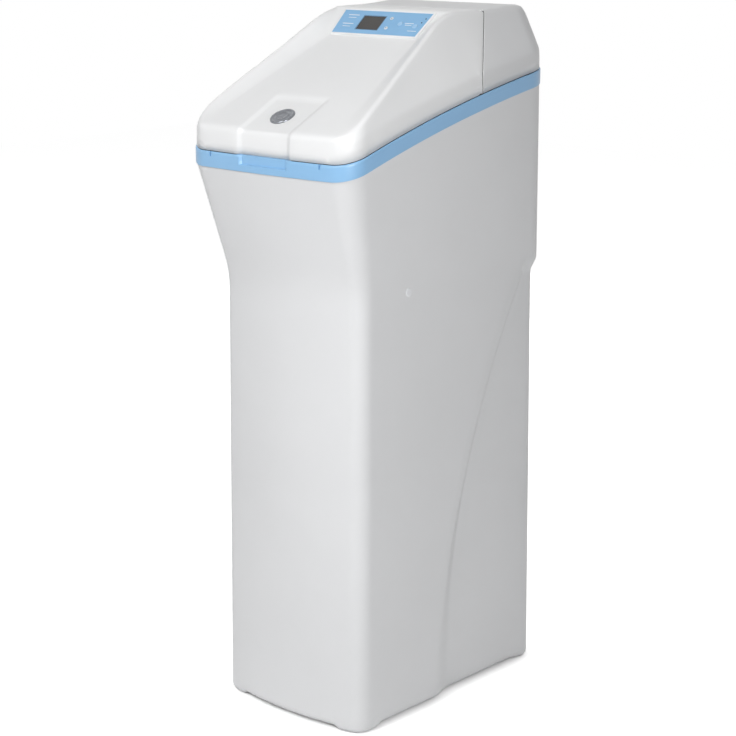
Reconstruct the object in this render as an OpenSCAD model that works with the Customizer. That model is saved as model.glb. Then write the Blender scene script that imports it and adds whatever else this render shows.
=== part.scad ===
// Cabinet water softener: a moulded salt cabinet with a resin tank and control valve under a hood
// Front is -Y, the right side is +X, the floor is z = 0, sizes in millimetres

/* [Cabinet] */
// Width across the rim
case_w = 350; // [340:1:380]
// Depth across the rim
case_d = 508; // [500:1:540]
// Front corner radius of the rim in plan
case_r = 40; // [36:1:46]
// Rear corner radius of the rim in plan
case_rear_r = 50; // [44:1:60]
// Width of the base at its front
low_front_w = 300; // [294:1:308]
// Width of the base at its rear
low_rear_w = 342; // [336:1:346]
// Narrowing of each side from the base to the shoulder, at the front
waist_front = 4; // [2:0.5:6]
// Narrowing of each side from the base to the shoulder, at the rear
waist_rear = 9.5; // [6:0.5:11]
// How far the front leans back from the base to the shoulder
waist_set = 7; // [4:0.5:9]
// How far the front of the base lies behind the front of the rim
low_front_set = 48; // [42:1:54]
// How far the lower rear lies inside the rear of the rim
low_rear_set = 2; // [1:1:6]
// Forward bow of the lower front
low_bow = 15; // [10:1:18]
// Corner radius of the lower front
low_front_r = 32; // [28:1:40]
// Corner radius of the lower rear
low_rear_r = 30; // [24:1:40]
// Wall of the cabinet
wall = 4; // [3:0.5:5]
// Height where the shoulder starts to flare
flare_z = 715; // [690:5:740]
// Height of the moulded corner feet
foot_h = 6; // [5:0.5:9]
// Thickness of the cabinet floor
floor_t = 4; // [3:0.5:6]
// Depth of the stepped sweep on each side
sweep_d = 12; // [8:1:14]
// Height where the sweep meets the rear corner
sweep_top = 686; // [660:2:690]
// Width of the pipe opening in the rear wall
notch_w = 176; // [160:2:190]
// Height of the sill of the pipe opening
notch_z = 925; // [915:1:935]

/* [Rim] */
// Height of the top of the rim at the front
rim_front_z = 913; // [905:1:920]
// Rise of the rim from front to rear
rim_rise = 115; // [100:1:125]
// Upward curve of the rim along its sides
rim_crown = 46; // [40:1:65]
// Height of the blue band
rim_h = 24; // [20:1:28]
// Width of the top of the rim
rim_t = 11; // [9:1:14]
// Width of the finger grip
grip_w = 100; // [80:2:110]

/* [Hood] */
// Height of the flat top
top_z = 1120; // [1116:1:1130]
// Upright band above the rim
band_h = 30; // [24:1:36]
// Inward lean of the sides, run over rise
lean = 0.52; // [0.48:0.01:0.56]
// Rounding of the ridges
ridge_r = 12; // [8:1:16]
// Width of the sloped shoulders beside the face
shoulder_w = 28; // [24:1:32]
// Depth of the dished face at the panel
dish = 27; // [20:1:29]
// Height of the front roll of the lid above the rim
roll_up = 29; // [26:0.2:32]
// Radius of the roll at the front of the lid
roll_r = 17; // [14:1:20]
// Skin of the lid and the rear cover
skin = 3; // [2.5:0.1:3.5]
// Gap between the hood and the rim
hood_gap = 0.6; // [0.5:0.1:0.8]
// Width of the floor of the front channel
channel_w = 92; // [80:2:100]
// Depth of the front channel
channel_d = 4; // [2:0.5:5]
// Upward bulge of the rear cover
top_crown = 4; // [0:0.5:6]

/* [Hinge] */
// Distance of the foot of the seam from the rear of the case
seam_back = 192; // [188:1:198]
// Distance of the top of the seam from the rear of the case
seam_top_back = 134; // [130:1:138]
// Radius of the rolled rear edge of the lid
hinge_roll = 6.5; // [6:0.1:7.5]
// Radius of a hinge knuckle
knuckle_r = 2.9; // [2.6:0.1:3]
// Radius of a hinge pin
pin_r = 1.5; // [1.2:0.1:1.8]
// Length of one knuckle
knuckle_l = 12; // [10:1:16]
// Distance of a hinge from the side of the case
hinge_side = 105; // [90:1:120]

/* [Panel] */
// Distance of the lower edge of the panel from the rear of the case
panel_back = 251; // [248:1:254]
// Height of the lower edge of the panel
panel_z = 1080; // [1076:1:1084]
// Slope of the panel in degrees
panel_a = 39; // [36:1:40]
// Length of the panel along its slope
panel_l = 52; // [50:1:53]
// Distance of the panel from the sloped shoulders at its lower edge
panel_clear = 10.5; // [8:0.5:12]
// Further width on each side at the upper edge of the panel
panel_taper = 4.5; // [3:0.5:6]
// Thickness of the blue panel
panel_t = 2.4; // [2:0.1:3]
// Width of the white border of the panel
border_w = 2.5; // [2:0.1:3]
// Width of the display
screen_w = 45; // [38:1:46]
// Height of the display
screen_h = 31; // [26:1:32]
// Radius of a small button
key_r = 3; // [2.5:0.1:3.4]
// Radius of a large button
big_key_r = 4.5; // [4:0.1:5]
// Travel of a button
key_travel = 0.8; // [0.5:0.1:1]
// Radius of the badge
badge_r = 20; // [16:0.5:22]

/* [Tank] */
// Outer radius of the resin tank
tank_r = 101.5; // [98:0.5:103]
// Wall of the resin tank
tank_wall = 3; // [2.5:0.1:4]
// Height of each dome of the tank
dome_h = 55; // [48:1:60]
// Height of the tank bottom above the cabinet floor
tank_lift = 10; // [8:0.5:12]
// Length of the straight shell of the tank
tank_l = 775; // [765:1:780]
// Outer radius of the tank neck
neck_r = 34; // [32:0.5:35]
// Gap between the tank and the rear wall
tank_gap = 8.5; // [6.5:0.5:12.5]
// Radius of the riser tube
riser_r = 13.5; // [12:0.1:14]
// Height of the resin bed above the tank bottom
bed_h = 540; // [480:5:600]

/* [Valve] */
// Radius of the valve body
valve_r = 54; // [52:0.5:56]
// Height of the valve body
valve_h = 82; // [80:1:86]
// Thickness of the valve cover
cover_t = 12; // [10:0.5:14]
// Gear module
gear_m = 2; // [2:0.1:2]
// Teeth of the cam gear
cam_teeth = 40; // [40:4:40]
// Teeth of the motor pinion
pinion_teeth = 12; // [12:1:12]
// Width of the gears
gear_t = 10; // [8:0.5:12]
// Radius of the motor can
motor_r = 24; // [20:0.5:26]
// Radial clearance of turning shafts
run_gap = 0.05; // [0.03:0.01:0.08]

/* [Ports] */
// Distance of a port from the middle
port_x = 38; // [34:0.5:42]
// Height of the port axes above the valve seat
port_up = 40; // [38:0.5:44]
// Outer radius of the pipe thread of a port
port_r = 13.2; // [12.8:0.05:13.6]
// Length of the pipe thread of a port
port_l = 18; // [16:1:20]
// Radius of the drain barb
drain_r = 6.35; // [6:0.05:6.6]
// Radius of the overflow barb
overflow_r = 6.35; // [6:0.05:6.6]

/* [Brine] */
// Distance of the brine well from the middle, to the left
well_x = 98; // [94:1:102]
// Distance of the brine well from the rear of the case
well_back = 284; // [280:1:290]
// Outer radius of the brine well
well_r = 45; // [42:0.5:46]
// Height of the brine well
well_h = 830; // [804:2:844]
// Wall of the brine well
well_wall = 3; // [2.5:0.1:4]
// Radius of the float
float_r = 20; // [17:0.5:21]
// Height of the float
float_h = 45; // [40:1:50]
// Travel of the float
float_travel = 80; // [60:1:100]
// Radius of the brine tube
tube_r = 4.75; // [4.5:0.05:5]

/* [Hidden] */
$fn = 64;

// Fits
seat_gap = 0.3;
touch_gap = 0.1;
thin_gap = 0.2;

// Colours
white = "#e9eaec";
blue = "#a9cdec";
panel_blue = "#8fb9e0";
grey = "#8d9196";
dark = "#3b3d40";
steel = "#b9bcc0";
natural = "#d8d6cc";
resin_colour = "#a8672c";
black = "#26282a";

// Small helpers
function mix(a, b, t) = a + (b - a) * t;
function clamp01(t) = min(1, max(0, t));
function smooth_min(a, b, k) = let (h = clamp01(0.5 + 0.5 * (b - a) / k)) mix(b, a, h) - k * h * (1 - h);
function bend(a, b, c, t) = mix(mix(a, b, t), mix(b, c, t), t);
function mean(ring) = [for (c = [0:2]) [for (p = ring) p[c]] * [for (p = ring) 1] / len(ring)];
function quad(a, b, c, d) = [[a, b, c], [a, c, d]];

// Closed solid through rings of equal length, with a fan at each end
module loft(rings) {
  n = len(rings[0]);
  m = len(rings);
  points = concat([for (ring = rings) each ring], [mean(rings[0]), mean(rings[m - 1])]);
  sides = [for (j = [0:m - 2], i = [0:n - 1]) let (a = j * n + i, b = j * n + (i + 1) % n)
    each quad(a, a + n, b + n, b)];
  first = [for (i = [0:n - 1]) [m * n, i, (i + 1) % n]];
  last = [for (i = [0:n - 1]) [m * n + 1, (m - 1) * n + (i + 1) % n, (m - 1) * n + i]];
  polyhedron(points, concat(sides, first, last));
}

// Closed band: rings of equal length, the last joined to the first
module band_loft(rings) {
  n = len(rings[0]);
  m = len(rings);
  faces = [for (j = [0:m - 1], i = [0:n - 1])
    let (a = j * n + i, b = j * n + (i + 1) % n, up = ((j + 1) % m - j) * n)
    each quad(a, a + up, b + up, b)];
  polyhedron([for (ring = rings) each ring], faces);
}

// Thick sheet between an outer and an inner grid of the same size
module sheet(outer, inner) {
  m = len(outer);
  n = len(outer[0]);
  q = m * n;
  cells = [for (j = [0:m - 2], i = [0:n - 2]) [j * n + i, j * n + n + i, j * n + n + i + 1, j * n + i + 1]];
  skins = [for (c = cells) each concat(
    quad(c[0], c[1], c[2], c[3]), quad(q + c[2], q + c[1], q + c[0], q + c[3]))];
  left = [for (j = [0:m - 2]) let (a = j * n, b = a + n) each quad(b, a, q + a, q + b)];
  right = [for (j = [0:m - 2]) let (d = j * n + n - 1, c = d + n) each quad(d, c, q + c, q + d)];
  front = [for (i = [0:n - 2]) each quad(i, i + 1, q + i + 1, q + i)];
  back = [for (i = [0:n - 2]) let (b = (m - 1) * n + i, c = b + 1) each quad(c, b, q + b, q + c)];
  polyhedron([for (row = concat(outer, inner)) each row], concat(skins, left, right, front, back));
}

// Round tube or rod along hand-picked points
function spline(p, i, t) = let (
    a = p[max(0, i - 1)], b = p[i], c = p[i + 1], d = p[min(len(p) - 1, i + 2)])
  0.5 * (2 * b + (c - a) * t + (2 * a - 5 * b + 4 * c - d) * t * t + (3 * b - a - 3 * c + d) * t * t * t);
function route(p, steps) = concat(
  [for (i = [0:len(p) - 2], s = [0:steps - 1]) spline(p, i, s / steps)], [p[len(p) - 1]]);
function unit(v) = v / norm(v);
function ring_at(p, dir, r, n) = let (
    side = unit(cross(dir, abs(dir.x) > 0.9 ? [0, 1, 0] : [1, 0, 0])), up = cross(dir, side))
  [for (k = [0:n - 1]) p + r * (cos(360 * k / n) * side + sin(360 * k / n) * up)];
module rod_along(points, r, n = 10) {
  last = len(points) - 1;
  loft([for (i = [0:last]) ring_at(points[i], unit(points[min(last, i + 1)] - points[max(0, i - 1)]), r, n)]);
}

// Cabinet outline in plan
half_w = case_w / 2;
half_d = case_d / 2;
tub_inset = 1.5;
// Places that keep to the rear of the case
seam_y = half_d - seam_back;
seam_top_y = half_d - seam_top_back;
panel_y = half_d - panel_back;
tank_y = half_d - low_rear_set - wall - tank_gap - tank_r;
well_y = well_back - half_d;
hinge_x = half_w - hinge_side;
sweep_foot_y = -7;
sweep_head_y = half_d - 57;
sweep_curve = 2.1;
notch_slope = 1;
// Values of one level: front half width, rear half width, front, rear, front radius, rear radius, bow
base_level = [low_front_w / 2, low_rear_w / 2, -half_d + low_front_set, half_d - low_rear_set,
  low_front_r, low_rear_r, low_bow];
waist_change = [-waist_front, -waist_rear, waist_set, 0, 0, 0, 0];
rim_level = [half_w, half_w, -half_d, half_d, case_r, case_rear_r, 0];
function low_level(z) = base_level + clamp01(z / flare_z) * waist_change;
function inset(l, o) = [l[0] - o, l[1] - o, l[2] + o, l[3] - o, max(6, l[4] - o), max(6, l[5] - o), l[6]];
function sweep_y(z) = mix(sweep_foot_y, sweep_head_y, pow(clamp01(z / sweep_top), sweep_curve));
function sweep_w(z) = mix(34, 7, clamp01(z / sweep_top));

// Half outline from the middle of the front to the middle of the rear
function half_plan(l, d, ys, w) = let (
    y0 = l[2] + l[4], y3 = l[3] - l[5], y1 = ys - w / 2, y2 = ys + w / 2,
    turn = atan(2 * l[6] / (l[0] - 0.75 * l[4])),
    xf = l[0] - l[4] * (1 - sin(turn)), yf = y0 - l[4] * cos(turn),
    side = function (y) mix(l[0], l[1], (y - y0) / (y3 - y0)))
  concat(
    [for (k = [0:4]) [xf * k / 4, yf - l[6] * (1 - pow(k / 4, 2))]],
    [for (k = [1:6]) let (a = mix(turn, 90, k / 6)) [l[0] - l[4] + l[4] * sin(a), y0 - l[4] * cos(a)]],
    [for (k = [1:4]) let (y = mix(y0, y1, k / 4)) [side(y), y]],
    [for (y = [y2, (y2 + y3) / 2]) [side(y) - d, y]],
    [for (k = [0:5]) [l[1] - d - l[5] + l[5] * cos(18 * k), y3 + l[5] * sin(18 * k)]],
    [[notch_w / 2 + notch_slope, l[3]], [notch_w / 2, l[3]]]);
step_y = half_d - 194;
function plan(l, d = 0, ys = step_y, w = 40) = let (h = half_plan(l, d, ys, w), n = len(h))
  concat(h, [for (i = [n - 1:-1:1]) [-h[i].x, h[i].y]]);
function lifted(ring, z) = [for (p = ring) [p.x, p.y, z]];

// Height of the top of the rim at a distance from the middle
function rim_t_of(y) = (y + half_d) / case_d;
function rim_z(y) = rim_front_z + rim_rise * rim_t_of(y) + rim_crown * rim_t_of(y) * (1 - rim_t_of(y));
function rim_low_z(y) = rim_z(y) - rim_h;

// Levels of the cabinet wall from the foot to the top edge
tub_zs = [foot_h + 2, 60, 130, 200, 270, 340, 410, 480, 550, 610, 655, sweep_top];
sweep_end_z = sweep_top + 26;
flare_steps = [0.1, 0.45, 1];
tub_floor_z = foot_h + floor_t;
function tub_low(o, z) = let (d = z > sweep_top + 1 ? 0 : sweep_d)
  lifted(plan(inset(low_level(z), o), d, sweep_y(z), sweep_w(z)), z);
function edge_z(p) = abs(p.x) < notch_w / 2 + notch_slope / 2 && p.y > 0 ? notch_z : rim_low_z(p.y);
function tub_flare(o, t) = let (
    l = mix(inset(low_level(flare_z), o), inset(rim_level, tub_inset + o), t),
    ring = plan(l, 0, mix(sweep_head_y, step_y, t), 20))
  [for (p = ring) [p.x, p.y, t == 1 ? edge_z(p) : min(mix(flare_z, rim_low_z(p.y), t), edge_z(p) - 5)]];
// The feet are the lowered corners of the base
function foot_ring(o) = let (ring = plan(inset(base_level, o), sweep_d, sweep_y(0), sweep_w(0)), n = len(ring))
  [for (i = [0:n - 1]) let (k = min(i, n - i), foot = (k > 4 && k < 11) || (k > 17 && k < 22))
    [ring[i].x, ring[i].y, foot ? 0 : foot_h]];

module tub_shell() {
  loft(concat(
    [lifted(plan(inset(base_level, 52), sweep_d, sweep_y(0), sweep_w(0)), foot_h)],
    [foot_ring(42), foot_ring(5)],
    [for (z = tub_zs) tub_low(0, z)], [tub_low(0, sweep_end_z)],
    [for (t = flare_steps) tub_flare(0, t)],
    [for (k = [2:-1:0]) tub_flare(wall, flare_steps[k])],
    [tub_low(wall, sweep_end_z)],
    [for (k = [len(tub_zs) - 1:-1:1]) tub_low(wall, tub_zs[k])],
    [tub_low(wall, tub_floor_z)]));
}

plug_y = 166 - half_d;
plug_z = 703;
plug_r = 5;
overflow_y = half_d - 58;
overflow_z = 600;
overflow_hole_r = overflow_r + 4;
function low_side_x(y, z) = let (l = low_level(z))
  mix(l[0], l[1], (y - l[2] - l[4]) / (l[3] - l[5] - l[2] - l[4]));
plug_x = low_side_x(plug_y, plug_z);
overflow_x = low_side_x(overflow_y, overflow_z) - sweep_d;

module cabinet() color(white) difference() {
  tub_shell();
  translate([plug_x - 2 * wall, plug_y, plug_z]) rotate([0, 90, 0]) cylinder(r = plug_r, h = 4 * wall);
  translate([-overflow_x + 2 * wall, overflow_y, overflow_z]) rotate([0, -90, 0])
    cylinder(r = overflow_hole_r, h = 4 * wall);
}

module side_plug() color(white) {
  plug_head = 2;
  translate([plug_x - wall - 3, plug_y, plug_z]) rotate([0, 90, 0]) {
    cylinder(r = plug_r - thin_gap, h = wall + 3.5);
    translate([0, 0, wall + 3 + seat_gap]) rotate_extrude()
      polygon([[0, 0], [plug_r + plug_head, 0], [plug_r + plug_head - 0.6, 1.2], [plug_r - 1, 1.6], [0, 1.6]]);
  }
}

// Rim: a hooked band that drops over the edge of the cabinet
rim_skirt = 8;
grip_deep = 4;
grip_h = 13;
tab_w = 3;
tab_h = 5;
tab_x = 116;
hook_o = tub_inset + wall + 0.4;
hook_lean = 2.6;
rim_section = [[0, 0], [0, rim_h - 1.5], [1.5, rim_h], [rim_t, rim_h], [rim_t, -rim_skirt],
  [hook_o + hook_lean, -rim_skirt], [hook_o, seat_gap], [tub_inset, seat_gap]];
module rim() color(blue) difference() {
  band_loft([for (s = rim_section) let (ring = plan(inset(rim_level, s[0]), 0, step_y, 20))
    [for (p = ring) [p.x, p.y, rim_low_z(p.y) + s[1]]]]);
  translate([-grip_w / 2, -half_d - 1, rim_front_z - grip_h]) cube([grip_w, grip_deep + 1, grip_h + 5]);
  for (x = [-tab_x, tab_x])
    translate([x - tab_w / 2, -half_d - 1, rim_front_z - tab_h]) cube([tab_w, grip_deep + 1, tab_h + 5]);
}

// Hood: sections across the lid and the rear cover
hood_inset = 2;
hood_half_w = half_w - hood_inset;
hood_half_d = half_d - hood_inset;
function hood_r(y) = (y < 0 ? case_r : case_rear_r) - hood_inset;
band_draft = 0.8;
channel_flank = 12;
channel_end = 84 - half_d;
channel_ramp = 12;
skin_drop = 1.2;
rear_steep = 3.1;
rear_z = 1042;
shelf = border_w + 0.7;
shelf_y = panel_y - shelf * cos(panel_a);
shelf_z = panel_z - shelf * sin(panel_a);
shelf_top_y = panel_y + (panel_l + shelf) * cos(panel_a);
shelf_top_z = panel_z + (panel_l + shelf) * sin(panel_a);
roll_y = -hood_half_d + roll_r;
roll_z = rim_front_z + roll_up;
// The face is the tangent from the foot of the panel to the front roll
face_a = atan2(shelf_z - roll_z, shelf_y - roll_y) - asin(roll_r / norm([shelf_y - roll_y, shelf_z - roll_z]));
face_slope = tan(face_a);
face_run = sqrt(1 + face_slope * face_slope);
function face_z(y) = shelf_z + face_slope * (y - shelf_y);
roll_end = roll_y - roll_r * face_slope / face_run;
ridge_slope = face_slope + dish / (shelf_y - roll_end);
function hood_hw(y) = let (r = hood_r(y), dy = max(0, abs(y) - hood_half_d + r))
  hood_half_w - r + sqrt(max(0, r * r - dy * dy));
function rear_line(y) = smooth_min(top_z, rear_z + (hood_half_d - y) * rear_steep, 12);
function crown_at(y) = top_crown * clamp01((y - seam_top_y - 5) / 60) * clamp01((hood_half_d - 12 - y) / 25);
function centre_z(y) =
  y < roll_end ? roll_z + sqrt(max(0, roll_r * roll_r - pow(y - roll_y, 2))) :
  y <= shelf_y ? face_z(y) :
  y <= shelf_top_y ? shelf_z + (y - shelf_y) * tan(panel_a) :
  min(rear_line(y), shelf_top_z + (y - shelf_top_y) * 1.1) + crown_at(y);
function ridge_z(y) =
  y < roll_end ? centre_z(y) :
  smooth_min(face_z(roll_end) + ridge_slope * (y - roll_end), rear_line(y), 18);
function channel_at(y) = channel_d * clamp01((channel_end + channel_ramp - y) / channel_ramp);

// Point k of half a section, from the rim edge (0) to the middle (10), o inside the outer skin
function section_point(k, y, o) = let (
    ridge = ridge_z(y) - o * skin_drop,
    band = min(rim_z(y) + band_h, ridge_z(y) - 5) - (o > 0 ? 1 : 0),
    hw = hood_hw(y) - o,
    foot = [hw - band_draft, band],
    top = [hw - band_draft - lean * (ridge - band), ridge],
    mid = centre_z(y) - o * skin_drop,
    out = top + unit(foot - top) * min(ridge_r, 0.45 * norm(foot - top)),
    in = mix(top, [top.x - shoulder_at(y), mid], ridge_r / (shoulder_at(y) + 6)))
  k == 0 ? [hw, rim_z(y) + hood_gap] : k == 1 ? foot : k == 2 ? out :
  k < 6 ? bend(out, top, in, (k - 2) / 4) : k == 6 ? in :
  k == 7 ? [top.x - shoulder_at(y), mid] : k == 8 ? [channel_w / 2 + channel_flank, mid] :
  [k == 9 ? channel_w / 2 : 0, mid];
half_n = 11;
function end_run(y) = hood_r(y) + 2;
function shoulder_at(y) = mix(shoulder_w, ridge_r + 1, clamp01((y - shelf_y) / (shelf_top_y - shelf_y)));
function mirrored(half) = concat([for (p = half) [-p.x, p.y, p.z]], [for (i = [len(half) - 2:-1:0]) half[i]]);

// Section across the hood at one distance from the middle
function flat_section(y, o) = mirrored([for (k = [0:half_n - 1]) let (
    p = section_point(k, y, o), front = clamp01((roll_end - y) / (roll_end + hood_half_d)),
    end = clamp01((abs(y) - hood_half_d + end_run(y)) / end_run(y)), sunk = k > 8 ? channel_at(y) : 0,
    set = y - sign(y) * o * end)
  [p.x, set + sunk * front, k == 0 ? rim_z(set) + hood_gap : p.y - sunk * (1 - 0.7 * front)]]);
// Half of the gap of the seam
seam_gap = 0.7;
// Section along the seam, where the rear edge of the lid rolls down by an angle
seam_slope = (seam_top_y - seam_y) / (top_z - rim_z(seam_y) - band_h);
function seam_at(k) = k < 2 ? seam_y : k == 2 ? seam_top_y - ridge_r * 0.84 * seam_slope :
  k == 3 ? seam_top_y - ridge_r * 0.42 * seam_slope : seam_top_y;
ridge_clear = 1.2;
function seam_section(turn, o) = mirrored([for (k = [0:half_n - 1]) let (
    y = seam_at(k) - seam_gap - (k == 4 ? ridge_clear : 0), p = section_point(k, y, k > 4 ? 0 : o),
    back = hinge_roll * (1 - sin(turn)), drop = hinge_roll * (1 - cos(turn)))
  k > 4 ? [p.x, y - back - o * sin(turn), p.y - drop - o * cos(turn)] : [p.x, y - back, p.y]]);
function rear_seam_section(w, y1, o) = mirrored([for (k = [0:half_n - 1]) let (
    y = mix(seam_at(k) + seam_gap, y1, w), p = section_point(k, y, o)) [p.x, y, p.y]]);
// Bottom edge of the front or rear face
function end_edge(side, o) = mirrored([for (k = [0:half_n - 1]) let (
    x = k < 8 ? mix(hood_hw(side * hood_half_d) - 7, channel_w / 2 + channel_flank + 8, k / 7) :
      k == 8 ? channel_w / 2 + channel_flank : k == 9 ? channel_w / 2 : 0,
    y = side * (hood_half_d - o) + (side < 0 && k > 8 ? channel_d : 0))
  [x, y, rim_z(y) + hood_gap + (k == 0 ? -0.3 : 0)]]);

lid_ys = concat(
  [for (a = [0, 16, 32, 48]) roll_y - roll_r * cos(a)],
  [for (t = [0, 0.2, 0.43, 0.66, 1]) mix(roll_end, channel_end, t)],
  [for (t = [0, 0.3, 0.62, 0.84]) mix(channel_end + channel_ramp, shelf_y, t)],
  [shelf_y, mix(shelf_y, shelf_top_y, 0.5), shelf_top_y, shelf_top_y + 6]);
cover_ys = [for (b = [72, 50, 36, 26, 20, 15, 10, 5, 2, 0]) hood_half_d - b];
function lid_grid(o) = concat(
  [end_edge(-1, o)], [for (y = lid_ys) flat_section(y, o)], [for (turn = [0, 45, 90]) seam_section(turn, o)]);
function cover_grid(o) = concat(
  [for (w = [0, 0.5, 1]) rear_seam_section(w, seam_top_y + 30, o)],
  [for (y = cover_ys) flat_section(y, o)], [end_edge(1, o)]);

// Panel frame of reference: x across, y up the slope from the lower edge, z out of the panel
module on_panel() translate([0, panel_y, panel_z]) rotate([panel_a, 0, 0]) children();
function flat_half(y) = section_point(7, y, 0).x;
flat_low = min([for (t = [0, 0.2, 0.4, 0.6]) flat_half(mix(shelf_y, shelf_top_y, t))]);
panel_low_w = 2 * (flat_low - panel_clear);
panel_w = min(panel_low_w + 2 * panel_taper, 2 * (flat_half(shelf_top_y) - panel_clear));
window_w = panel_low_w - 13;
window_low = 7;
module panel_shape(grow, h) linear_extrude(h)
  polygon([[-panel_low_w / 2 - grow, -grow], [panel_low_w / 2 + grow, -grow],
    [panel_w / 2 + grow, panel_l + grow], [-panel_w / 2 - grow, panel_l + grow]]);

module lid() color(white) difference() {
  sheet(lid_grid(0), lid_grid(skin));
  on_panel() translate([-window_w / 2, window_low, -3 * skin])
    cube([window_w, panel_l - 2 * window_low, 6 * skin]);
}

module rear_cover() color(white) sheet(cover_grid(0), cover_grid(skin));

// Bulkhead between the salt space and the valve space
bulk_set = 4;
bulk_t = 3.5;
bulk_low = rim_z(seam_y) - rim_h + 2;
bulk_band = rim_z(seam_y) + band_h;
bulk_top = top_z - hinge_roll - 8.5;
bulk_half = half_w - rim_t - seat_gap;
function bulk_y(z) = seam_y + bulk_set + max(0, z - bulk_band) * seam_slope;
module bulkhead() color(natural) intersection() {
  translate([-half_w, 0, 0]) rotate([90, 0, 90]) linear_extrude(case_w)
    polygon(concat(
      [for (z = [bulk_low, bulk_band, bulk_top]) [bulk_y(z), z]],
      [for (z = [bulk_top, bulk_band, bulk_low]) [bulk_y(z) + bulk_t, z]]));
  translate([0, half_d, 0]) rotate([90, 0, 0]) linear_extrude(case_d)
    polygon([[-bulk_half, bulk_low], [bulk_half, bulk_low], [bulk_half, bulk_band],
      [bulk_half - lean * (bulk_top - bulk_band), bulk_top],
      [-bulk_half + lean * (bulk_top - bulk_band), bulk_top], [-bulk_half, bulk_band]]);
}

// Hinges: a fixed knuckle between two lid knuckles on each pin
axis_y = seam_top_y - seam_gap - hinge_roll;
axis_z = top_z - hinge_roll;
leaf_t = 2;
leaf_l = 24;
knuckle_gap = 0.4;
arm_back = 0.2;
module across(l) rotate([90, 0, 90]) translate([0, 0, -l / 2]) linear_extrude(l) children();
module pin_hole(l) translate([0, axis_y, axis_z]) rotate([0, 90, 0])
  cylinder(r = pin_r + run_gap, h = l, center = true);
module each_hinge() for (x = [-hinge_x, hinge_x]) translate([x, 0, 0]) children();

module hinge_fixed_leaves() color(grey) each_hinge() difference() {
  union() {
    translate([0, axis_y, axis_z]) rotate([0, 90, 0]) cylinder(r = knuckle_r, h = knuckle_l, center = true);
    across(knuckle_l) polygon([
      [axis_y - knuckle_r, axis_z], [axis_y - knuckle_r, axis_z - 10],
      [bulk_y(bulk_top - 14) - touch_gap - leaf_t, bulk_top - 14],
      [bulk_y(bulk_top - 14 - leaf_l) - touch_gap - leaf_t, bulk_top - 14 - leaf_l],
      [bulk_y(bulk_top - 14 - leaf_l) - touch_gap, bulk_top - 14 - leaf_l],
      [bulk_y(bulk_top - 6) - touch_gap, bulk_top - 6],
      [axis_y + arm_back, axis_z - 8], [axis_y + arm_back, axis_z]]);
  }
  pin_hole(2 * knuckle_l);
}

module hinge_lid_leaves() color(grey) each_hinge() difference() {
  for (s = [-1, 1]) translate([s * (knuckle_l + knuckle_gap), 0, 0]) {
    translate([0, axis_y, axis_z]) rotate([0, 90, 0]) cylinder(r = knuckle_r, h = knuckle_l, center = true);
    across(knuckle_l) translate([axis_y - leaf_l, top_z - skin * skin_drop - touch_gap - leaf_t])
      square([leaf_l, leaf_t]);
  }
  pin_hole(4 * knuckle_l);
}

module hinge_pins() color(steel) each_hinge() translate([0, axis_y, axis_z]) rotate([0, 90, 0])
  cylinder(r = pin_r, h = 3 * knuckle_l + 4 * knuckle_gap, center = true);

// Control panel
frame_t = panel_t + 0.8;
frame_floor = 0.8;
screen_x = -20;
screen_y = panel_l / 2 - 1;
small_keys = [[16, 37], [18, 15]];
select_at = [40, 26];
recharge_at = [panel_w / 2 - 18, 22];
lamps_at = [[panel_w / 2 - 10, 31], [panel_w / 2 - 7, 40]];
key_gap = 0.3;
key_flange = 1.2;
lens_t = 1.6;
lamp_r = 1.2;
module panel_cuts(h) {
  translate([screen_x - screen_w / 2, screen_y - screen_h / 2, -h]) cube([screen_w, screen_h, 3 * h]);
  for (p = small_keys) translate([p.x, p.y, -h]) cylinder(r = key_r + key_gap, h = 3 * h);
  for (p = [select_at, recharge_at]) translate([p.x, p.y, -h]) cylinder(r = big_key_r + key_gap, h = 3 * h);
  for (p = lamps_at) translate([p.x, p.y, -h]) cylinder(r = lamp_r + touch_gap, h = 3 * h);
}
module panel_frame() color(white) on_panel() translate([0, 0, touch_gap]) difference() {
  panel_shape(border_w, frame_t);
  translate([0, 0, frame_floor]) panel_shape(touch_gap, frame_t);
  translate([-window_w / 2, window_low, -1]) cube([window_w, panel_l - 2 * window_low, frame_t]);
}
module panel() color(panel_blue) on_panel() translate([0, 0, frame_floor + 2 * touch_gap]) difference() {
  panel_shape(0, panel_t);
  panel_cuts(panel_t);
}
panel_face = 2 * touch_gap + frame_floor + panel_t;
module display_lens() color(dark) on_panel()
  translate([screen_x - screen_w / 2 + thin_gap, screen_y - screen_h / 2 + thin_gap, panel_face - panel_t])
    cube([screen_w - 2 * thin_gap, screen_h - 2 * thin_gap, panel_t - 0.3]);
module status_lamps() color(black) on_panel() for (p = lamps_at)
  translate([p.x, p.y, panel_face - panel_t]) {
    cylinder(r = lamp_r, h = panel_t);
    translate([0, 0, panel_t]) sphere(r = lamp_r * 0.9);
  }

// A button: cap through the panel, flange behind it, stem down to its switch
board_z = -14;
board_t = 1.6;
switch_h = 3;
key_proud = 1.1;
module key_at(p, r) on_panel() translate([p.x, p.y, 0]) {
  flange_z = panel_face - panel_t - seat_gap - key_flange;
  translate([0, 0, flange_z]) cylinder(r = r + 1.5, h = key_flange);
  translate([0, 0, flange_z]) rotate_extrude() polygon([[0, 0], [r, 0],
    [r, panel_face + key_proud - flange_z - 0.5], [r - 0.5, panel_face + key_proud - flange_z],
    [r * 0.5, panel_face + key_proud - flange_z - 0.2], [0, panel_face + key_proud - flange_z - 0.3]]);
  stem_low = board_z + board_t + switch_h + key_travel + 0.1;
  translate([0, 0, stem_low]) cylinder(r = 1.5, h = flange_z - stem_low);
}
module up_button() color(white) key_at(small_keys[0], key_r);
module down_button() color(white) key_at(small_keys[1], key_r);
module select_button() color(panel_blue) key_at(select_at, big_key_r);
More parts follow.
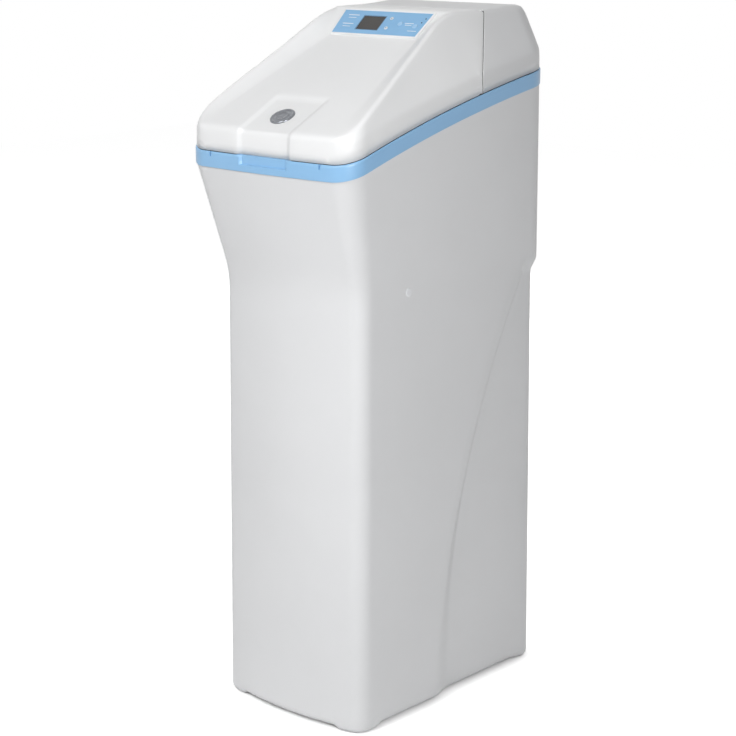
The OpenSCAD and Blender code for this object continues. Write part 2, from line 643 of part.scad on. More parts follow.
module recharge_button() color(panel_blue) key_at(recharge_at, big_key_r);

// Circuit board with its switches and display, on posts under the lid
module circuit_board() color("#2f6b3c") on_panel() {
  board_w = panel_low_w - 21;
  board_h = 34;
  board_low = (panel_l - board_h) / 2;
  translate([-board_w / 2 + 4, board_low, board_z]) cube([board_w, board_h, board_t]);
  for (p = concat(small_keys, [select_at, recharge_at])) translate([p.x - 3, p.y - 3, board_z + board_t])
    cube([6, 6, switch_h]);
  translate([screen_x - screen_w / 2 + 2, screen_y - screen_h / 2 + 3, board_z + board_t])
    cube([screen_w - 4, screen_h - 6, panel_face - panel_t - board_z - board_t - touch_gap]);
  for (x = [9 - board_w / 2, board_w / 2 - 3], y = [board_low + 3, board_low + board_h - 3])
    translate([x, y, board_z]) cylinder(r = 2.2, h = panel_face - panel_t - touch_gap - board_z);
}

// Badge: a plain domed disc on the floor of the channel
badge_y = 47 - half_d;
module badge() color(grey)
  translate([0, badge_y, face_z(badge_y) - channel_d]) rotate([atan(face_slope), 0, 0])
    translate([0, 0, thin_gap]) rotate_extrude() polygon([[0, 0], [badge_r, 0], [badge_r, 1.2],
      [badge_r - 1, 2.2], [badge_r - 3, 2.2], [badge_r - 4, 1.6], [badge_r * 0.4, 2], [0, 2.1]]);

// Resin tank and what it holds
tank_z = tub_floor_z + tank_lift;
tank_low = tank_z + dome_h;
tank_high = tank_low + tank_l;
neck_top = tank_high + dome_h + 13;
function dome_at(r, r0, h) = h * sqrt(max(0, 1 - pow(r / r0, 2)));
dome_n = 8;
function dome_arc(r0, h, a0, a1) = [for (k = [0:dome_n]) let (a = mix(a0, a1, k / dome_n))
  [r0 * cos(a), h * sin(a)]];
function shift_z(points, z) = [for (p = points) [p.x, p.y + z]];
neck_flange_r = neck_r + 6;
flange_t = 8;
module at_tank() translate([0, tank_y, 0]) children();
module tank_shape(o, neck) polygon(concat(
  shift_z(dome_arc(tank_r - o, dome_h - o, -90, 0), tank_low),
  shift_z(dome_arc(tank_r - o, dome_h - o, 0, acos(neck / (tank_r - o))), tank_high),
  [[neck, neck_top], [0, neck_top]]));
module resin_tank() color(natural) at_tank() rotate_extrude($fn = 96) {
  difference() {
    tank_shape(0, neck_r);
    tank_shape(tank_wall, neck_r - 4);
    translate([-2, 0]) square([2.001, neck_top + 10]);
  }
  translate([neck_r - 1, neck_top - flange_t]) square([neck_flange_r - neck_r + 1, flange_t]);
}
boot_in = 70;
boot_out = tank_r - 3.5;
module tank_boot() color(black) at_tank() rotate_extrude($fn = 96) polygon(concat(
  [[boot_in, tub_floor_z + touch_gap], [boot_out, tub_floor_z + touch_gap]],
  [for (r = [boot_out, boot_out - 6, boot_out - 12, boot_out - 20, boot_in])
    [r, tank_low - dome_at(r, tank_r, dome_h) - seat_gap - (r == boot_out ? 1 : 0)]]));
bed_gap = 0.4;
module resin_bed() color(resin_colour) at_tank() difference() {
  rotate_extrude($fn = 96) polygon(concat(
    shift_z(dome_arc(tank_r - tank_wall - bed_gap, dome_h - tank_wall - bed_gap, -90, 0), tank_low),
    [[tank_r - tank_wall - bed_gap, tank_z + bed_h], [0, tank_z + bed_h]]));
  translate([0, 0, tank_z]) cylinder(r = riser_r + bed_gap, h = bed_h + 1);
  translate([0, 0, tank_z]) cylinder(r = basket_r + bed_gap, h = basket_top - tank_z + bed_gap);
}
basket_r = 30;
basket_low = tank_z + tank_wall + 1;
basket_top = basket_low + 46;
module bottom_basket() color(black) at_tank() difference() {
  rotate_extrude() polygon([[0, basket_low + 2], [12, basket_low + 2], [basket_r - 4, basket_low + 8],
    [basket_r, basket_low + 14], [basket_r, basket_top - 8], [basket_r - 8, basket_top], [0, basket_top]]);
  translate([0, 0, basket_low + 16]) cylinder(r = riser_r + run_gap, h = 60);
  for (k = [0:11]) rotate(30 * k) translate([basket_r - 6, -1, basket_low + 16]) cube([10, 2, 18]);
}
riser_low = basket_low + 16 + touch_gap;
riser_top = neck_top + 26;
module riser_tube() color(white) at_tank() difference() {
  translate([0, 0, riser_low]) cylinder(r = riser_r, h = riser_top - riser_low);
  translate([0, 0, riser_low - 1]) cylinder(r = riser_r - 2.5, h = riser_top - riser_low + 2);
}
top_basket_h = 44;
top_basket_r = neck_r - 6;
module top_basket() color(black) at_tank() difference() {
  translate([0, 0, neck_top - top_basket_h]) cylinder(r = top_basket_r, h = top_basket_h - touch_gap);
  translate([0, 0, neck_top - top_basket_h - 1]) cylinder(r = riser_r + run_gap, h = top_basket_h + 2);
  for (k = [0:11]) rotate(30 * k) translate([top_basket_r - 5, -1, neck_top - top_basket_h + 6])
    cube([10, 2, top_basket_h - 14]);
}
seal_r = 2;
groove_r = neck_r - 1.5;
module neck_seal() color(black) at_tank() translate([0, 0, neck_top + seal_r + touch_gap]) rotate_extrude()
  translate([groove_r, 0]) circle(r = seal_r, $fn = 24);
clamp_gap = 3;
clamp_out = neck_flange_r + 7;
module tank_clamp() color(black) at_tank() difference() {
  rotate_extrude() difference() {
    translate([neck_r + seat_gap, neck_top - flange_t - 5])
      square([clamp_out - neck_r - seat_gap, 2 * flange_t + 10]);
    translate([0, neck_top - flange_t - touch_gap])
      square([neck_flange_r + seat_gap, 2 * flange_t + 3 * touch_gap]);
  }
  translate([-clamp_gap / 2, -2 * clamp_out, neck_top - 20]) cube([clamp_gap, 4 * clamp_out, 40]);
}

// Control valve
valve_z = neck_top + touch_gap;
valve_top = valve_z + valve_h;
cover_z = valve_top + touch_gap;
cover_top = cover_z + cover_t;
port_z = valve_z + port_up;
port_out_r = 18;
port_bore = 12;
adaptor_y = half_d - low_rear_set - 30;
chamber_r = 44;
chamber_h = 18;
drain_x = 66;
drain_z = port_z - 2;
venturi_z = port_z;
venturi_y = tank_y - 16;
venturi_r = 17;
venturi_in = sqrt(valve_r * valve_r - pow(tank_y - venturi_y, 2));
module valve_body() color(dark) difference() {
  union() {
    at_tank() translate([0, 0, valve_z]) {
      cylinder(r = neck_flange_r, h = flange_t);
      cylinder(r = neck_r, h = flange_t + 6);
      translate([0, 0, flange_t + 5]) cylinder(r = valve_r, h = valve_h - flange_t - 5);
      translate([0, 0, valve_h - 8]) cylinder(r = valve_r + 6, h = 8);
    }
    for (x = [-port_x, port_x]) translate([x, tank_y, port_z]) rotate([-90, 0, 0])
      cylinder(r = port_out_r, h = adaptor_y - tank_y);
    translate([0, tank_y, drain_z]) rotate([0, 90, 0]) cylinder(r = 9, h = drain_x - 8);
    translate([-venturi_in - 10, venturi_y, venturi_z]) rotate([0, 90, 0]) cylinder(r = venturi_r, h = 30);
  }
  at_tank() translate([0, 0, valve_z - 1]) cylinder(r = riser_r + run_gap, h = riser_top - valve_z + 1.5);
  at_tank() translate([0, 0, valve_top - chamber_h]) cylinder(r = chamber_r, h = chamber_h + 1);
  at_tank() translate([0, 0, valve_z]) rotate_extrude() translate([groove_r - seal_r - touch_gap, -1])
    square([2 * seal_r + 2 * touch_gap, 2 * seal_r + 1.2]);
  for (x = [-port_x, port_x]) translate([x, tank_y + 20, port_z]) rotate([-90, 0, 0])
    cylinder(r = port_bore, h = adaptor_y - tank_y);
}
lobe_r = 30;
gear_pitch = gear_m * (cam_teeth + pinion_teeth) / 2;
spigot_r = 8;
spigot_h = 20;
gear_z = cover_top + seat_gap;
motor_z = gear_z + gear_t + 4;
post_r = 4;
posts = [[gear_pitch + 22, -18], [gear_pitch + 22, 18]];
module valve_cover() color(dark) at_tank() translate([0, 0, cover_z]) {
  difference() {
    union() {
      cylinder(r = valve_r + 6, h = cover_t);
      translate([gear_pitch, 0, 0]) cylinder(r = lobe_r, h = cover_t);
    }
    for (a = screw_angles) rotate(a) translate([valve_r, 0, -1])
      cylinder(r = screw_r + thin_gap, h = cover_t + 2);
    translate([gear_pitch, 0, cover_t - 6]) cylinder(r = 3 + run_gap, h = 10);
  }
  translate([0, 0, cover_t]) cylinder(r = spigot_r, h = spigot_h);
  for (p = posts) translate([p.x, p.y, cover_t]) cylinder(r = post_r, h = motor_z - cover_top - touch_gap);
}
screw_angles = [45, 90, 135, 225, 270, 315];
screw_r = 2;
module cover_screws() color(steel) at_tank() for (a = screw_angles) rotate(a)
  translate([valve_r, 0, cover_z + touch_gap]) {
    cylinder(r = screw_r, h = cover_t);
    translate([0, 0, cover_t]) cylinder(r = 3.6, h = 2.6);
  }

// Spur gear outline with straight-sided teeth
addendum = 0.85;
dedendum = 1.2;
function gear_points(n, m) = let (r = n * m / 2) [for (k = [0:n - 1], s = [0:3])
  let (a = 360 * k / n + [-0.27, -0.11, 0.11, 0.27][s] * 360 / n, d = s == 1 || s == 2 ? addendum : -dedendum)
  (r + d * m) * [cos(a), sin(a)]];
lobe_n = 4;
module cam_gear() color(natural) at_tank() translate([0, 0, gear_z]) difference() {
  union() {
    linear_extrude(gear_t) polygon(gear_points(cam_teeth, gear_m));
    cylinder(r = 14, h = gear_t + 4);
    for (k = [0:lobe_n - 1]) rotate(90 * k + 20) translate([26, 0, 0]) cylinder(r = 5, h = gear_t + 3);
  }
  translate([0, 0, -1]) cylinder(r = spigot_r + run_gap, h = gear_t + 10);
}
pinion_shaft = 3;
module motor_pinion() color(steel) at_tank() translate([gear_pitch, 0, 0]) {
  translate([0, 0, gear_z]) rotate(180 / pinion_teeth) linear_extrude(gear_t)
    polygon(gear_points(pinion_teeth, gear_m));
  translate([0, 0, cover_top - 5]) cylinder(r = pinion_shaft, h = motor_z + 6 - cover_top + 5);
}
plate_t = 8;
module motor() color(grey) at_tank() translate([gear_pitch, 0, motor_z]) difference() {
  union() {
    translate([-20, -27, 0]) cube([50, 54, plate_t]);
    translate([4, 0, plate_t]) cylinder(r = motor_r, h = 34);
    translate([4 + motor_r - 6, -8, plate_t + 6]) cube([10, 16, 14]);
  }
  translate([0, 0, -1]) cylinder(r = pinion_shaft + run_gap, h = plate_t);
}
module position_switch() color(black) at_tank()
  translate([-valve_r - 4, -10, cover_top + touch_gap]) {
    cube([13, 20, 15]);
    translate([12, 6, 15]) cube([6, 8, 1]);
  }

// Flow meter in the outlet port
module at_outlet() translate([port_x, 0, port_z]) rotate([-90, 0, 0]) children();
turbine_y = tank_y + 56;
support_y = turbine_y + 15;
axle_r = 1.5;
module meter_turbine() color(white) at_outlet() translate([0, 0, turbine_y]) {
  cylinder(r = 3.2, h = 14);
  cylinder(r = axle_r, h = support_y - turbine_y + 4);
  for (k = [0:5]) rotate(60 * k) translate([0, -0.6, 1]) cube([port_bore - 1.2, 1.2, 12]);
}
module meter_support() color(grey) at_outlet() translate([0, 0, support_y]) difference() {
  union() {
    difference() {
      cylinder(r = port_bore - touch_gap, h = 4);
      translate([0, 0, -1]) cylinder(r = port_bore - 2, h = 6);
    }
    cylinder(r = 3.5, h = 4);
    for (k = [0:2]) rotate(120 * k + 40) translate([2, -1, 0.5]) cube([port_bore - 3, 2, 3]);
  }
  translate([0, 0, -1]) cylinder(r = axle_r + run_gap, h = 6);
}

// Pipe connections
spigot_l = 8;
clip_t = 3;
module port_adaptors() color(dark) for (x = [-port_x, port_x])
  translate([x, 0, port_z]) rotate([-90, 0, 0]) difference() {
    translate([0, 0, adaptor_y]) union() {
      translate([0, 0, -spigot_l]) cylinder(r = port_bore - touch_gap, h = spigot_l + 1);
      translate([0, 0, touch_gap]) cylinder(r = port_out_r, h = 5);
      cylinder(r = port_r, h = 12 + port_l);
    }
    translate([0, 0, adaptor_y - spigot_l - 1]) cylinder(r = 9.5, h = 60);
    translate([0, 0, adaptor_y - 5]) rotate_extrude() translate([port_bore - 1.6, 0]) square([3, 2]);
  }
module port_seals() color(black) for (x = [-port_x, port_x])
  translate([x, adaptor_y - 4, port_z]) rotate([-90, 0, 0]) rotate_extrude()
    translate([port_bore - 0.8, 0]) circle(r = 0.75, $fn = 24);
module port_clips() color(natural) for (x = [-port_x, port_x])
  translate([x, adaptor_y, port_z]) rotate([-90, 0, 0]) difference() {
    translate([0, 0, -4]) cylinder(r = port_out_r + clip_t, h = 12);
    translate([0, 0, -5]) cylinder(r = port_out_r + seat_gap, h = 14);
    translate([-40, port_out_r * 0.45, -5]) cube([80, 40, 20]);
  }
module drain_elbow() color(dark) translate([drain_x, tank_y, drain_z]) difference() {
  union() {
    translate([-8 + touch_gap, 0, 0]) rotate([0, 90, 0]) cylinder(r = 9, h = 16);
    rotate([-90, 0, 0]) {
      cylinder(r = 6, h = half_d - 6 - tank_y);
      translate([0, 0, half_d - 26 - tank_y]) cylinder(r = drain_r, h = 20);
    }
  }
  rotate([-90, 0, 0]) cylinder(r = 4, h = half_d);
}

// Nozzle and venturi on the left of the valve
venturi_out = venturi_in + 10;
module venturi_stack(x0, h, r) translate([-x0 - touch_gap, venturi_y, venturi_z]) rotate([0, -90, 0])
  cylinder(r = r, h = h);
venturi_l = 26;
gasket_t = 2;
tube_drop = 12;
module venturi_body() color(dark) {
  venturi_stack(venturi_out, venturi_l, venturi_r + 3);
  translate([-venturi_out - venturi_l / 2, venturi_y, venturi_z - venturi_r - tube_drop])
    cylinder(r = 7, h = tube_drop + 4);
}
module venturi_gasket() color(black)
  venturi_stack(venturi_out + venturi_l + touch_gap, gasket_t, venturi_r + 3);
module venturi_cap() color(grey) {
  cap_x = venturi_out + venturi_l + gasket_t + 2 * touch_gap;
  difference() {
    venturi_stack(cap_x, 12, venturi_r + 4);
    for (k = [0:15]) translate([0, venturi_y, venturi_z]) rotate([22.5 * k, 0, 0])
      translate([-cap_x - 20, venturi_r + 3, -1.2]) cube([15, 4, 2.4]);
  }
}

// Brine well with its valve and float
well_top = tub_floor_z + well_h;
riser_off = 26;
rod_off = 12;
brine_exit_z = well_top - 40;
exit_y = sqrt(pow(well_r, 2) - pow(riser_off, 2)) + 8;
module at_well() translate([-well_x, -well_y, 0]) children();
module brine_well() color(natural) at_well() difference() {
  translate([0, 0, tub_floor_z + touch_gap]) cylinder(r = well_r, h = well_h);
  translate([0, 0, tub_floor_z - 1]) cylinder(r = well_r - well_wall, h = well_h + 10);
  for (k = [0:7], z = [30, 55]) rotate(45 * k) translate([0, -2, tub_floor_z + z]) cube([well_r + 5, 4, 14]);
  translate([-riser_off, 0, brine_exit_z]) rotate([-90, 0, 0]) cylinder(r = tube_r + 1.5, h = 80);
}
module well_cap() color(natural) at_well() translate([0, 0, well_top + seat_gap]) difference() {
  rotate_extrude() polygon([[0, 4], [well_r + 3, 4], [well_r + 3, -9], [well_r + seat_gap, -9],
    [well_r + seat_gap, 0], [0, 0]]);
  for (a = [0, 180]) rotate(a) translate([well_r - 14, -8, -12]) cube([6, 16, 20]);
}
brine_base = 34;
elbow_back = 7;
module brine_valve() color(dark) at_well() difference() {
  union() {
    translate([0, 0, tub_floor_z + touch_gap]) cylinder(r = well_r - well_wall - 1, h = brine_base);
    translate([-riser_off, 0, tub_floor_z + brine_base - 1])
      cylinder(r = tube_r, h = brine_exit_z - tub_floor_z - brine_base + 1);
    translate([-riser_off, -elbow_back, brine_exit_z]) rotate([-90, 0, 0])
      cylinder(r = tube_r + 1, h = exit_y + elbow_back);
  }
  for (k = [0:5]) rotate(60 * k + 30) translate([30, 0, tub_floor_z - 1]) cylinder(r = 5, h = 12);
  translate([rod_off, 0, tub_floor_z + brine_base - 10]) cylinder(r = 3 + run_gap, h = 20);
}
float_z = tub_floor_z + brine_base + 40;
rod_top = float_z + float_h + float_travel + 20;
module float_rod() color(white) at_well() translate([rod_off, 0, 0]) {
  rod_low = tub_floor_z + brine_base - 10 + touch_gap;
  translate([0, 0, rod_low]) cylinder(r = 3, h = rod_top - rod_low);
  translate([0, 0, float_z - 4]) cylinder(r = 7, h = 4 - seat_gap);
  translate([0, 0, float_z + float_h + float_travel + seat_gap]) cylinder(r = 7, h = 4);
}
module brine_float() color(white) at_well() translate([rod_off, 0, float_z]) difference() {
  rotate_extrude() polygon([[0, 0], [float_r - 3, 0], [float_r, 3], [float_r, float_h - 3],
    [float_r - 3, float_h], [0, float_h]]);
  translate([0, 0, -1]) cylinder(r = 3 + run_gap, h = float_h + 2);
}

// Brine tube from the well to the venturi
tube_x = -venturi_out - venturi_l / 2;
tube_end_z = venturi_z - venturi_r - tube_drop - touch_gap;
tube_from = [-well_x - riser_off, -well_y + exit_y + touch_gap, brine_exit_z];
tube_route = [tube_from, tube_from + [0, 14, 0], tube_from + [8, 44, 24],
  [tube_x - 14, venturi_y - 26, tube_end_z - 36],
  [tube_x, venturi_y, tube_end_z - 12], [tube_x, venturi_y, tube_end_z]];
tube_bends = [for (i = [1:len(tube_route) - 2]) tube_route[i]];
module brine_tube() color(white)
  rod_along(concat([tube_route[0]], route(tube_bends, 5), [tube_route[len(tube_route) - 1]]), tube_r);

// Overflow on the left side, in the sweep
overflow_reach = overflow_x + 16;
module at_overflow() translate([-overflow_x, overflow_y, overflow_z]) rotate([0, -90, 0]) children();
module overflow_grommet() color(black) at_overflow() difference() {
  union() {
    translate([0, 0, -wall - 3]) cylinder(r = overflow_hole_r - thin_gap, h = wall + 6);
    translate([0, 0, 0.8]) cylinder(r = overflow_hole_r + 2.5, h = 2.2);
    translate([0, 0, -wall - 3.4]) cylinder(r = overflow_hole_r + 2.5, h = 2.2);
  }
  translate([0, 0, -20]) cylinder(r = overflow_r - 0.35 + touch_gap, h = 40);
}
module overflow_elbow() color(dark) at_overflow() difference() {
  union() {
    translate([0, 0, -20]) cylinder(r = overflow_r - 0.35, h = overflow_reach - overflow_x + 20);
    translate([0, 0, 4.5]) cylinder(r = overflow_r, h = overflow_reach - overflow_x - 4.5);
    translate([0, 0, -22]) cylinder(r = overflow_r + 2, h = 13);
  }
  translate([0, 0, -30]) cylinder(r = 4, h = 60);
}

// Gland for the low-voltage lead, pushed onto the sill of the pipe opening
grommet_x = 14 - notch_w / 2;
grommet_w = 16;
grommet_h = 14;
sill_y = half_d - tub_inset;
module lead_grommet() color(black) difference() {
  translate([grommet_x - grommet_w / 2, sill_y - wall - 3, notch_z - 4])
    cube([grommet_w, wall + 4.5, grommet_h + 4]);
  translate([grommet_x - grommet_w, sill_y - wall - seat_gap, notch_z - 10])
    cube([2 * grommet_w, wall + 2 * seat_gap, 10 + seat_gap]);
  translate([grommet_x, 0, notch_z + grommet_h / 2]) rotate([-90, 0, 0]) cylinder(r = 3.5, h = 2 * half_d);
}

cabinet();
rim();
rear_cover();
bulkhead();
side_plug();
lead_grommet();
hinge_fixed_leaves();
hinge_pins();
hinge_lid_leaves();
lid();
panel_frame();
panel();
display_lens();
status_lamps();
circuit_board();
badge();
up_button();
down_button();
select_button();
recharge_button();
resin_tank();
tank_boot();
resin_bed();
riser_tube();
bottom_basket();
top_basket();
neck_seal();
tank_clamp();
valve_body();
valve_cover();
cover_screws();
cam_gear();
motor();
motor_pinion();
position_switch();
meter_turbine();
meter_support();
port_adaptors();
port_clips();
port_seals();
drain_elbow();
venturi_body();
venturi_gasket();
venturi_cap();
brine_tube();
brine_well();
well_cap();
brine_valve();
float_rod();
brine_float();
overflow_grommet();
overflow_elbow();
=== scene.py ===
import math

import bmesh
import bpy
from mathutils import Matrix, Vector


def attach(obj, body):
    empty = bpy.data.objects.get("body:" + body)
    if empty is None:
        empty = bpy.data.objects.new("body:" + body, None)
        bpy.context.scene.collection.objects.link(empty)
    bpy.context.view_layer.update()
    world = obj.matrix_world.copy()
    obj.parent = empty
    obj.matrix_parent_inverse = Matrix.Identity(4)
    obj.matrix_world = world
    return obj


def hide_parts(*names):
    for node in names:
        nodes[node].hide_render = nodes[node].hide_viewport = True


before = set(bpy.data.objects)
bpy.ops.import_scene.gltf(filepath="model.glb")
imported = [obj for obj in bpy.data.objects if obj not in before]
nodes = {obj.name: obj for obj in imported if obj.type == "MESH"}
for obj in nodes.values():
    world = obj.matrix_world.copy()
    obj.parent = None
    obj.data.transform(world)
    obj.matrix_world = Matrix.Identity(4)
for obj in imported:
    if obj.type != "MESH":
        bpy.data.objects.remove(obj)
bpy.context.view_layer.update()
mm = 0.001
print("frame loaded:", len(nodes), "nodes")


# small sums
def mix(a, b, t):
    return a + (b - a) * t


def clamp(t):
    return min(1.0, max(0.0, t))


def ease(t):
    t = clamp(t)
    return t * t * (3 - 2 * t)


def softMin(a, b, k):
    h = clamp(0.5 + 0.5 * (b - a) / k)
    return mix(b, a, h) - k * h * (1 - h)


def bend(a, b, c, t):
    return mix(mix(a, b, t), mix(b, c, t), t)


def steps(a, b, count):
    return [mix(a, b, i / count) for i in range(count + 1)]


# shader helpers
def addNode(tree, kind, **values):
    node = tree.nodes.new(kind)
    for key, value in values.items():
        setattr(node, key, value)
    return node


def setInputs(node, values):
    for key, value in values.items():
        node.inputs[key].default_value = value


def feed(tree, socket, value):
    if hasattr(value, "is_output"):
        tree.links.new(value, socket)
    else:
        socket.default_value = value


def blendColour(tree, factor, a, b):
    node = addNode(tree, "ShaderNodeMix", data_type="RGBA")
    for index, value in ((0, factor), (6, a), (7, b)):   # the colour sockets of the mix node
        feed(tree, node.inputs[index], value)
    return node.outputs[2]


def doMath(tree, operation, *values):
    node = addNode(tree, "ShaderNodeMath", operation=operation)
    for socket, value in zip(node.inputs, values):
        feed(tree, socket, value)
    return node.outputs[0]


def mapValue(tree, value, low, high, toLow, toHigh):
    node = addNode(tree, "ShaderNodeMapRange")
    for socket, number in zip(node.inputs, (value, low, high, toLow, toHigh)):
        feed(tree, socket, number)
    return node.outputs[0]


def noiseAt(tree, vector, scale, detail=2.0, rough=0.5):
    node = addNode(tree, "ShaderNodeTexNoise")
    tree.links.new(vector, node.inputs["Vector"])
    feed(tree, node.inputs["Scale"], scale)
    setInputs(node, {"Detail": detail, "Roughness": rough})
    return node.outputs["Fac"]


def objectCoords(tree):
    return addNode(tree, "ShaderNodeTexCoord").outputs["Object"]


# shader groups
def newGroup(name, inputs, outputs):
    group = bpy.data.node_groups.new(name, "ShaderNodeTree")
    kinds = {"c": "NodeSocketColor", "f": "NodeSocketFloat", "v": "NodeSocketVector"}
    for label, kind, value in inputs:
        socket = group.interface.new_socket(label, in_out="INPUT", socket_type=kinds[kind])
        socket.default_value = value
    for label, kind in outputs:
        group.interface.new_socket(label, in_out="OUTPUT", socket_type=kinds[kind])
    return group, group.nodes.new("NodeGroupInput").outputs, group.nodes.new("NodeGroupOutput").inputs


# moulded plastic: slow clouds of tint, a fine grain and a little sheen change
def makeMouldedSkin():
    group, inp, out = newGroup("mouldedSkin", [
        ("Base", "c", (0.8, 0.8, 0.8, 1)), ("Shade", "c", (0.7, 0.7, 0.7, 1)), ("Cloud Scale", "f", 7.0),
        ("Grain Scale", "f", 900.0), ("Rough", "f", 0.4), ("Rough Swing", "f", 0.1)],
        [("Colour", "c"), ("Roughness", "f"), ("Height", "f")])
    coords = objectCoords(group)
    clouds = noiseAt(group, coords, inp["Cloud Scale"], detail=3)
    grain = noiseAt(group, coords, inp["Grain Scale"], detail=2, rough=0.6)
    tint = mapValue(group, clouds, 0.35, 0.65, 0.0, 1.0)
    swing = doMath(group, "MULTIPLY", doMath(group, "SUBTRACT", grain, 0.5), inp["Rough Swing"])
    group.links.new(blendColour(group, tint, inp["Base"], inp["Shade"]), out["Colour"])
    group.links.new(doMath(group, "ADD", inp["Rough"], swing), out["Roughness"])
    group.links.new(grain, out["Height"])
    return group


# drawn or turned metal: scratches stretched along one way
def makeDrawnMetal():
    group, inp, out = newGroup("drawnMetal", [
        ("Base", "c", (0.6, 0.6, 0.6, 1)), ("Shade", "c", (0.4, 0.4, 0.4, 1)),
        ("Stretch", "v", (40, 40, 900)), ("Rough", "f", 0.3)],
        [("Colour", "c"), ("Roughness", "f"), ("Height", "f")])
    scaled = addNode(group, "ShaderNodeVectorMath", operation="MULTIPLY")
    group.links.new(objectCoords(group), scaled.inputs[0])
    group.links.new(inp["Stretch"], scaled.inputs[1])
    lines = noiseAt(group, scaled.outputs[0], 1.0, detail=4, rough=0.65)
    tint = mapValue(group, lines, 0.3, 0.7, 0.0, 1.0)
    swing = doMath(group, "MULTIPLY", doMath(group, "SUBTRACT", lines, 0.5), 0.25)
    group.links.new(blendColour(group, tint, inp["Base"], inp["Shade"]), out["Colour"])
    group.links.new(doMath(group, "ADD", inp["Rough"], swing), out["Roughness"])
    group.links.new(lines, out["Height"])
    return group


# packed beads, darker towards the edge of each bead: painted shade in the gaps between them
def makeBeadPack():
    group, inp, out = newGroup("beadPack", [
        ("Base", "c", (0.5, 0.2, 0.05, 1)), ("Shade", "c", (0.2, 0.07, 0.02, 1)), ("Scale", "f", 700.0)],
        [("Colour", "c"), ("Height", "f")])
    cells = addNode(group, "ShaderNodeTexVoronoi")
    group.links.new(objectCoords(group), cells.inputs["Vector"])
    group.links.new(inp["Scale"], cells.inputs["Scale"])
    # the gaps between beads take the darker colour: painted shade
    depth = mapValue(group, cells.outputs["Distance"], 0.0, 0.7, 1.0, 0.0)
    group.links.new(blendColour(group, depth, inp["Shade"], inp["Base"]), out["Colour"])
    group.links.new(depth, out["Height"])
    return group


# glass strand wound both ways round a tank
def makeWoundStrand():
    group, inp, out = newGroup("woundStrand", [
        ("Base", "c", (0.6, 0.58, 0.5, 1)), ("Shade", "c", (0.42, 0.4, 0.33, 1)), ("Scale", "f", 60.0)],
        [("Colour", "c"), ("Height", "f")])
    coords = objectCoords(group)
    bands = []
    for lean in (0.5, -0.5):
        turn = addNode(group, "ShaderNodeMapping")
        turn.inputs["Rotation"].default_value = (0, lean, 0)
        group.links.new(coords, turn.inputs["Vector"])
        wave = addNode(group, "ShaderNodeTexWave", wave_type="BANDS", bands_direction="Z")
        group.links.new(turn.outputs[0], wave.inputs["Vector"])
        group.links.new(inp["Scale"], wave.inputs["Scale"])
        setInputs(wave, {"Distortion": 1.2, "Detail": 3})
        bands.append(wave.outputs["Fac"])
    weave = doMath(group, "MULTIPLY", *bands)
    group.links.new(blendColour(group, weave, inp["Shade"], inp["Base"]), out["Colour"])
    group.links.new(weave, out["Height"])
    return group


mouldedSkin = makeMouldedSkin()
drawnMetal = makeDrawnMetal()
beadPack = makeBeadPack()
woundStrand = makeWoundStrand()


# materials
def startMaterial(name):
    material = bpy.data.materials.new(name)
    material.use_nodes = True
    tree = material.node_tree
    tree.nodes.clear()
    shader = addNode(tree, "ShaderNodeBsdfPrincipled")
    tree.links.new(shader.outputs[0], addNode(tree, "ShaderNodeOutputMaterial").inputs[0])
    return material, tree, shader


def addRelief(tree, shader, height, strength, depth):
    relief = addNode(tree, "ShaderNodeBump")
    setInputs(relief, {"Strength": strength, "Distance": depth})
    tree.links.new(height, relief.inputs["Height"])
    tree.links.new(relief.outputs[0], shader.inputs["Normal"])


def useGroup(tree, shader, group, values, strength, depth):
    node = addNode(tree, "ShaderNodeGroup", node_tree=group)
    setInputs(node, values)
    tree.links.new(node.outputs["Colour"], shader.inputs["Base Color"])
    if "Roughness" in node.outputs:
        tree.links.new(node.outputs["Roughness"], shader.inputs["Roughness"])
    addRelief(tree, shader, node.outputs["Height"], strength, depth)


def plastic(name, base, shade, rough, grain, bump, clouds, coat=0.0):
    material, tree, shader = startMaterial(name)
    useGroup(tree, shader, mouldedSkin, {
        "Base": (*base, 1), "Shade": (*shade, 1), "Cloud Scale": clouds, "Grain Scale": grain,
        "Rough": rough, "Rough Swing": 0.1}, strength=bump, depth=0.0004)
    setInputs(shader, {"Coat Weight": coat, "Coat Roughness": 0.12})
    return material


def metal(name, base, shade, rough, stretch):
    material, tree, shader = startMaterial(name)
    useGroup(tree, shader, drawnMetal, {
        "Base": (*base, 1), "Shade": (*shade, 1), "Stretch": stretch, "Rough": rough},
        strength=0.12, depth=0.0002)
    setInputs(shader, {"Metallic": 1.0})
    return material


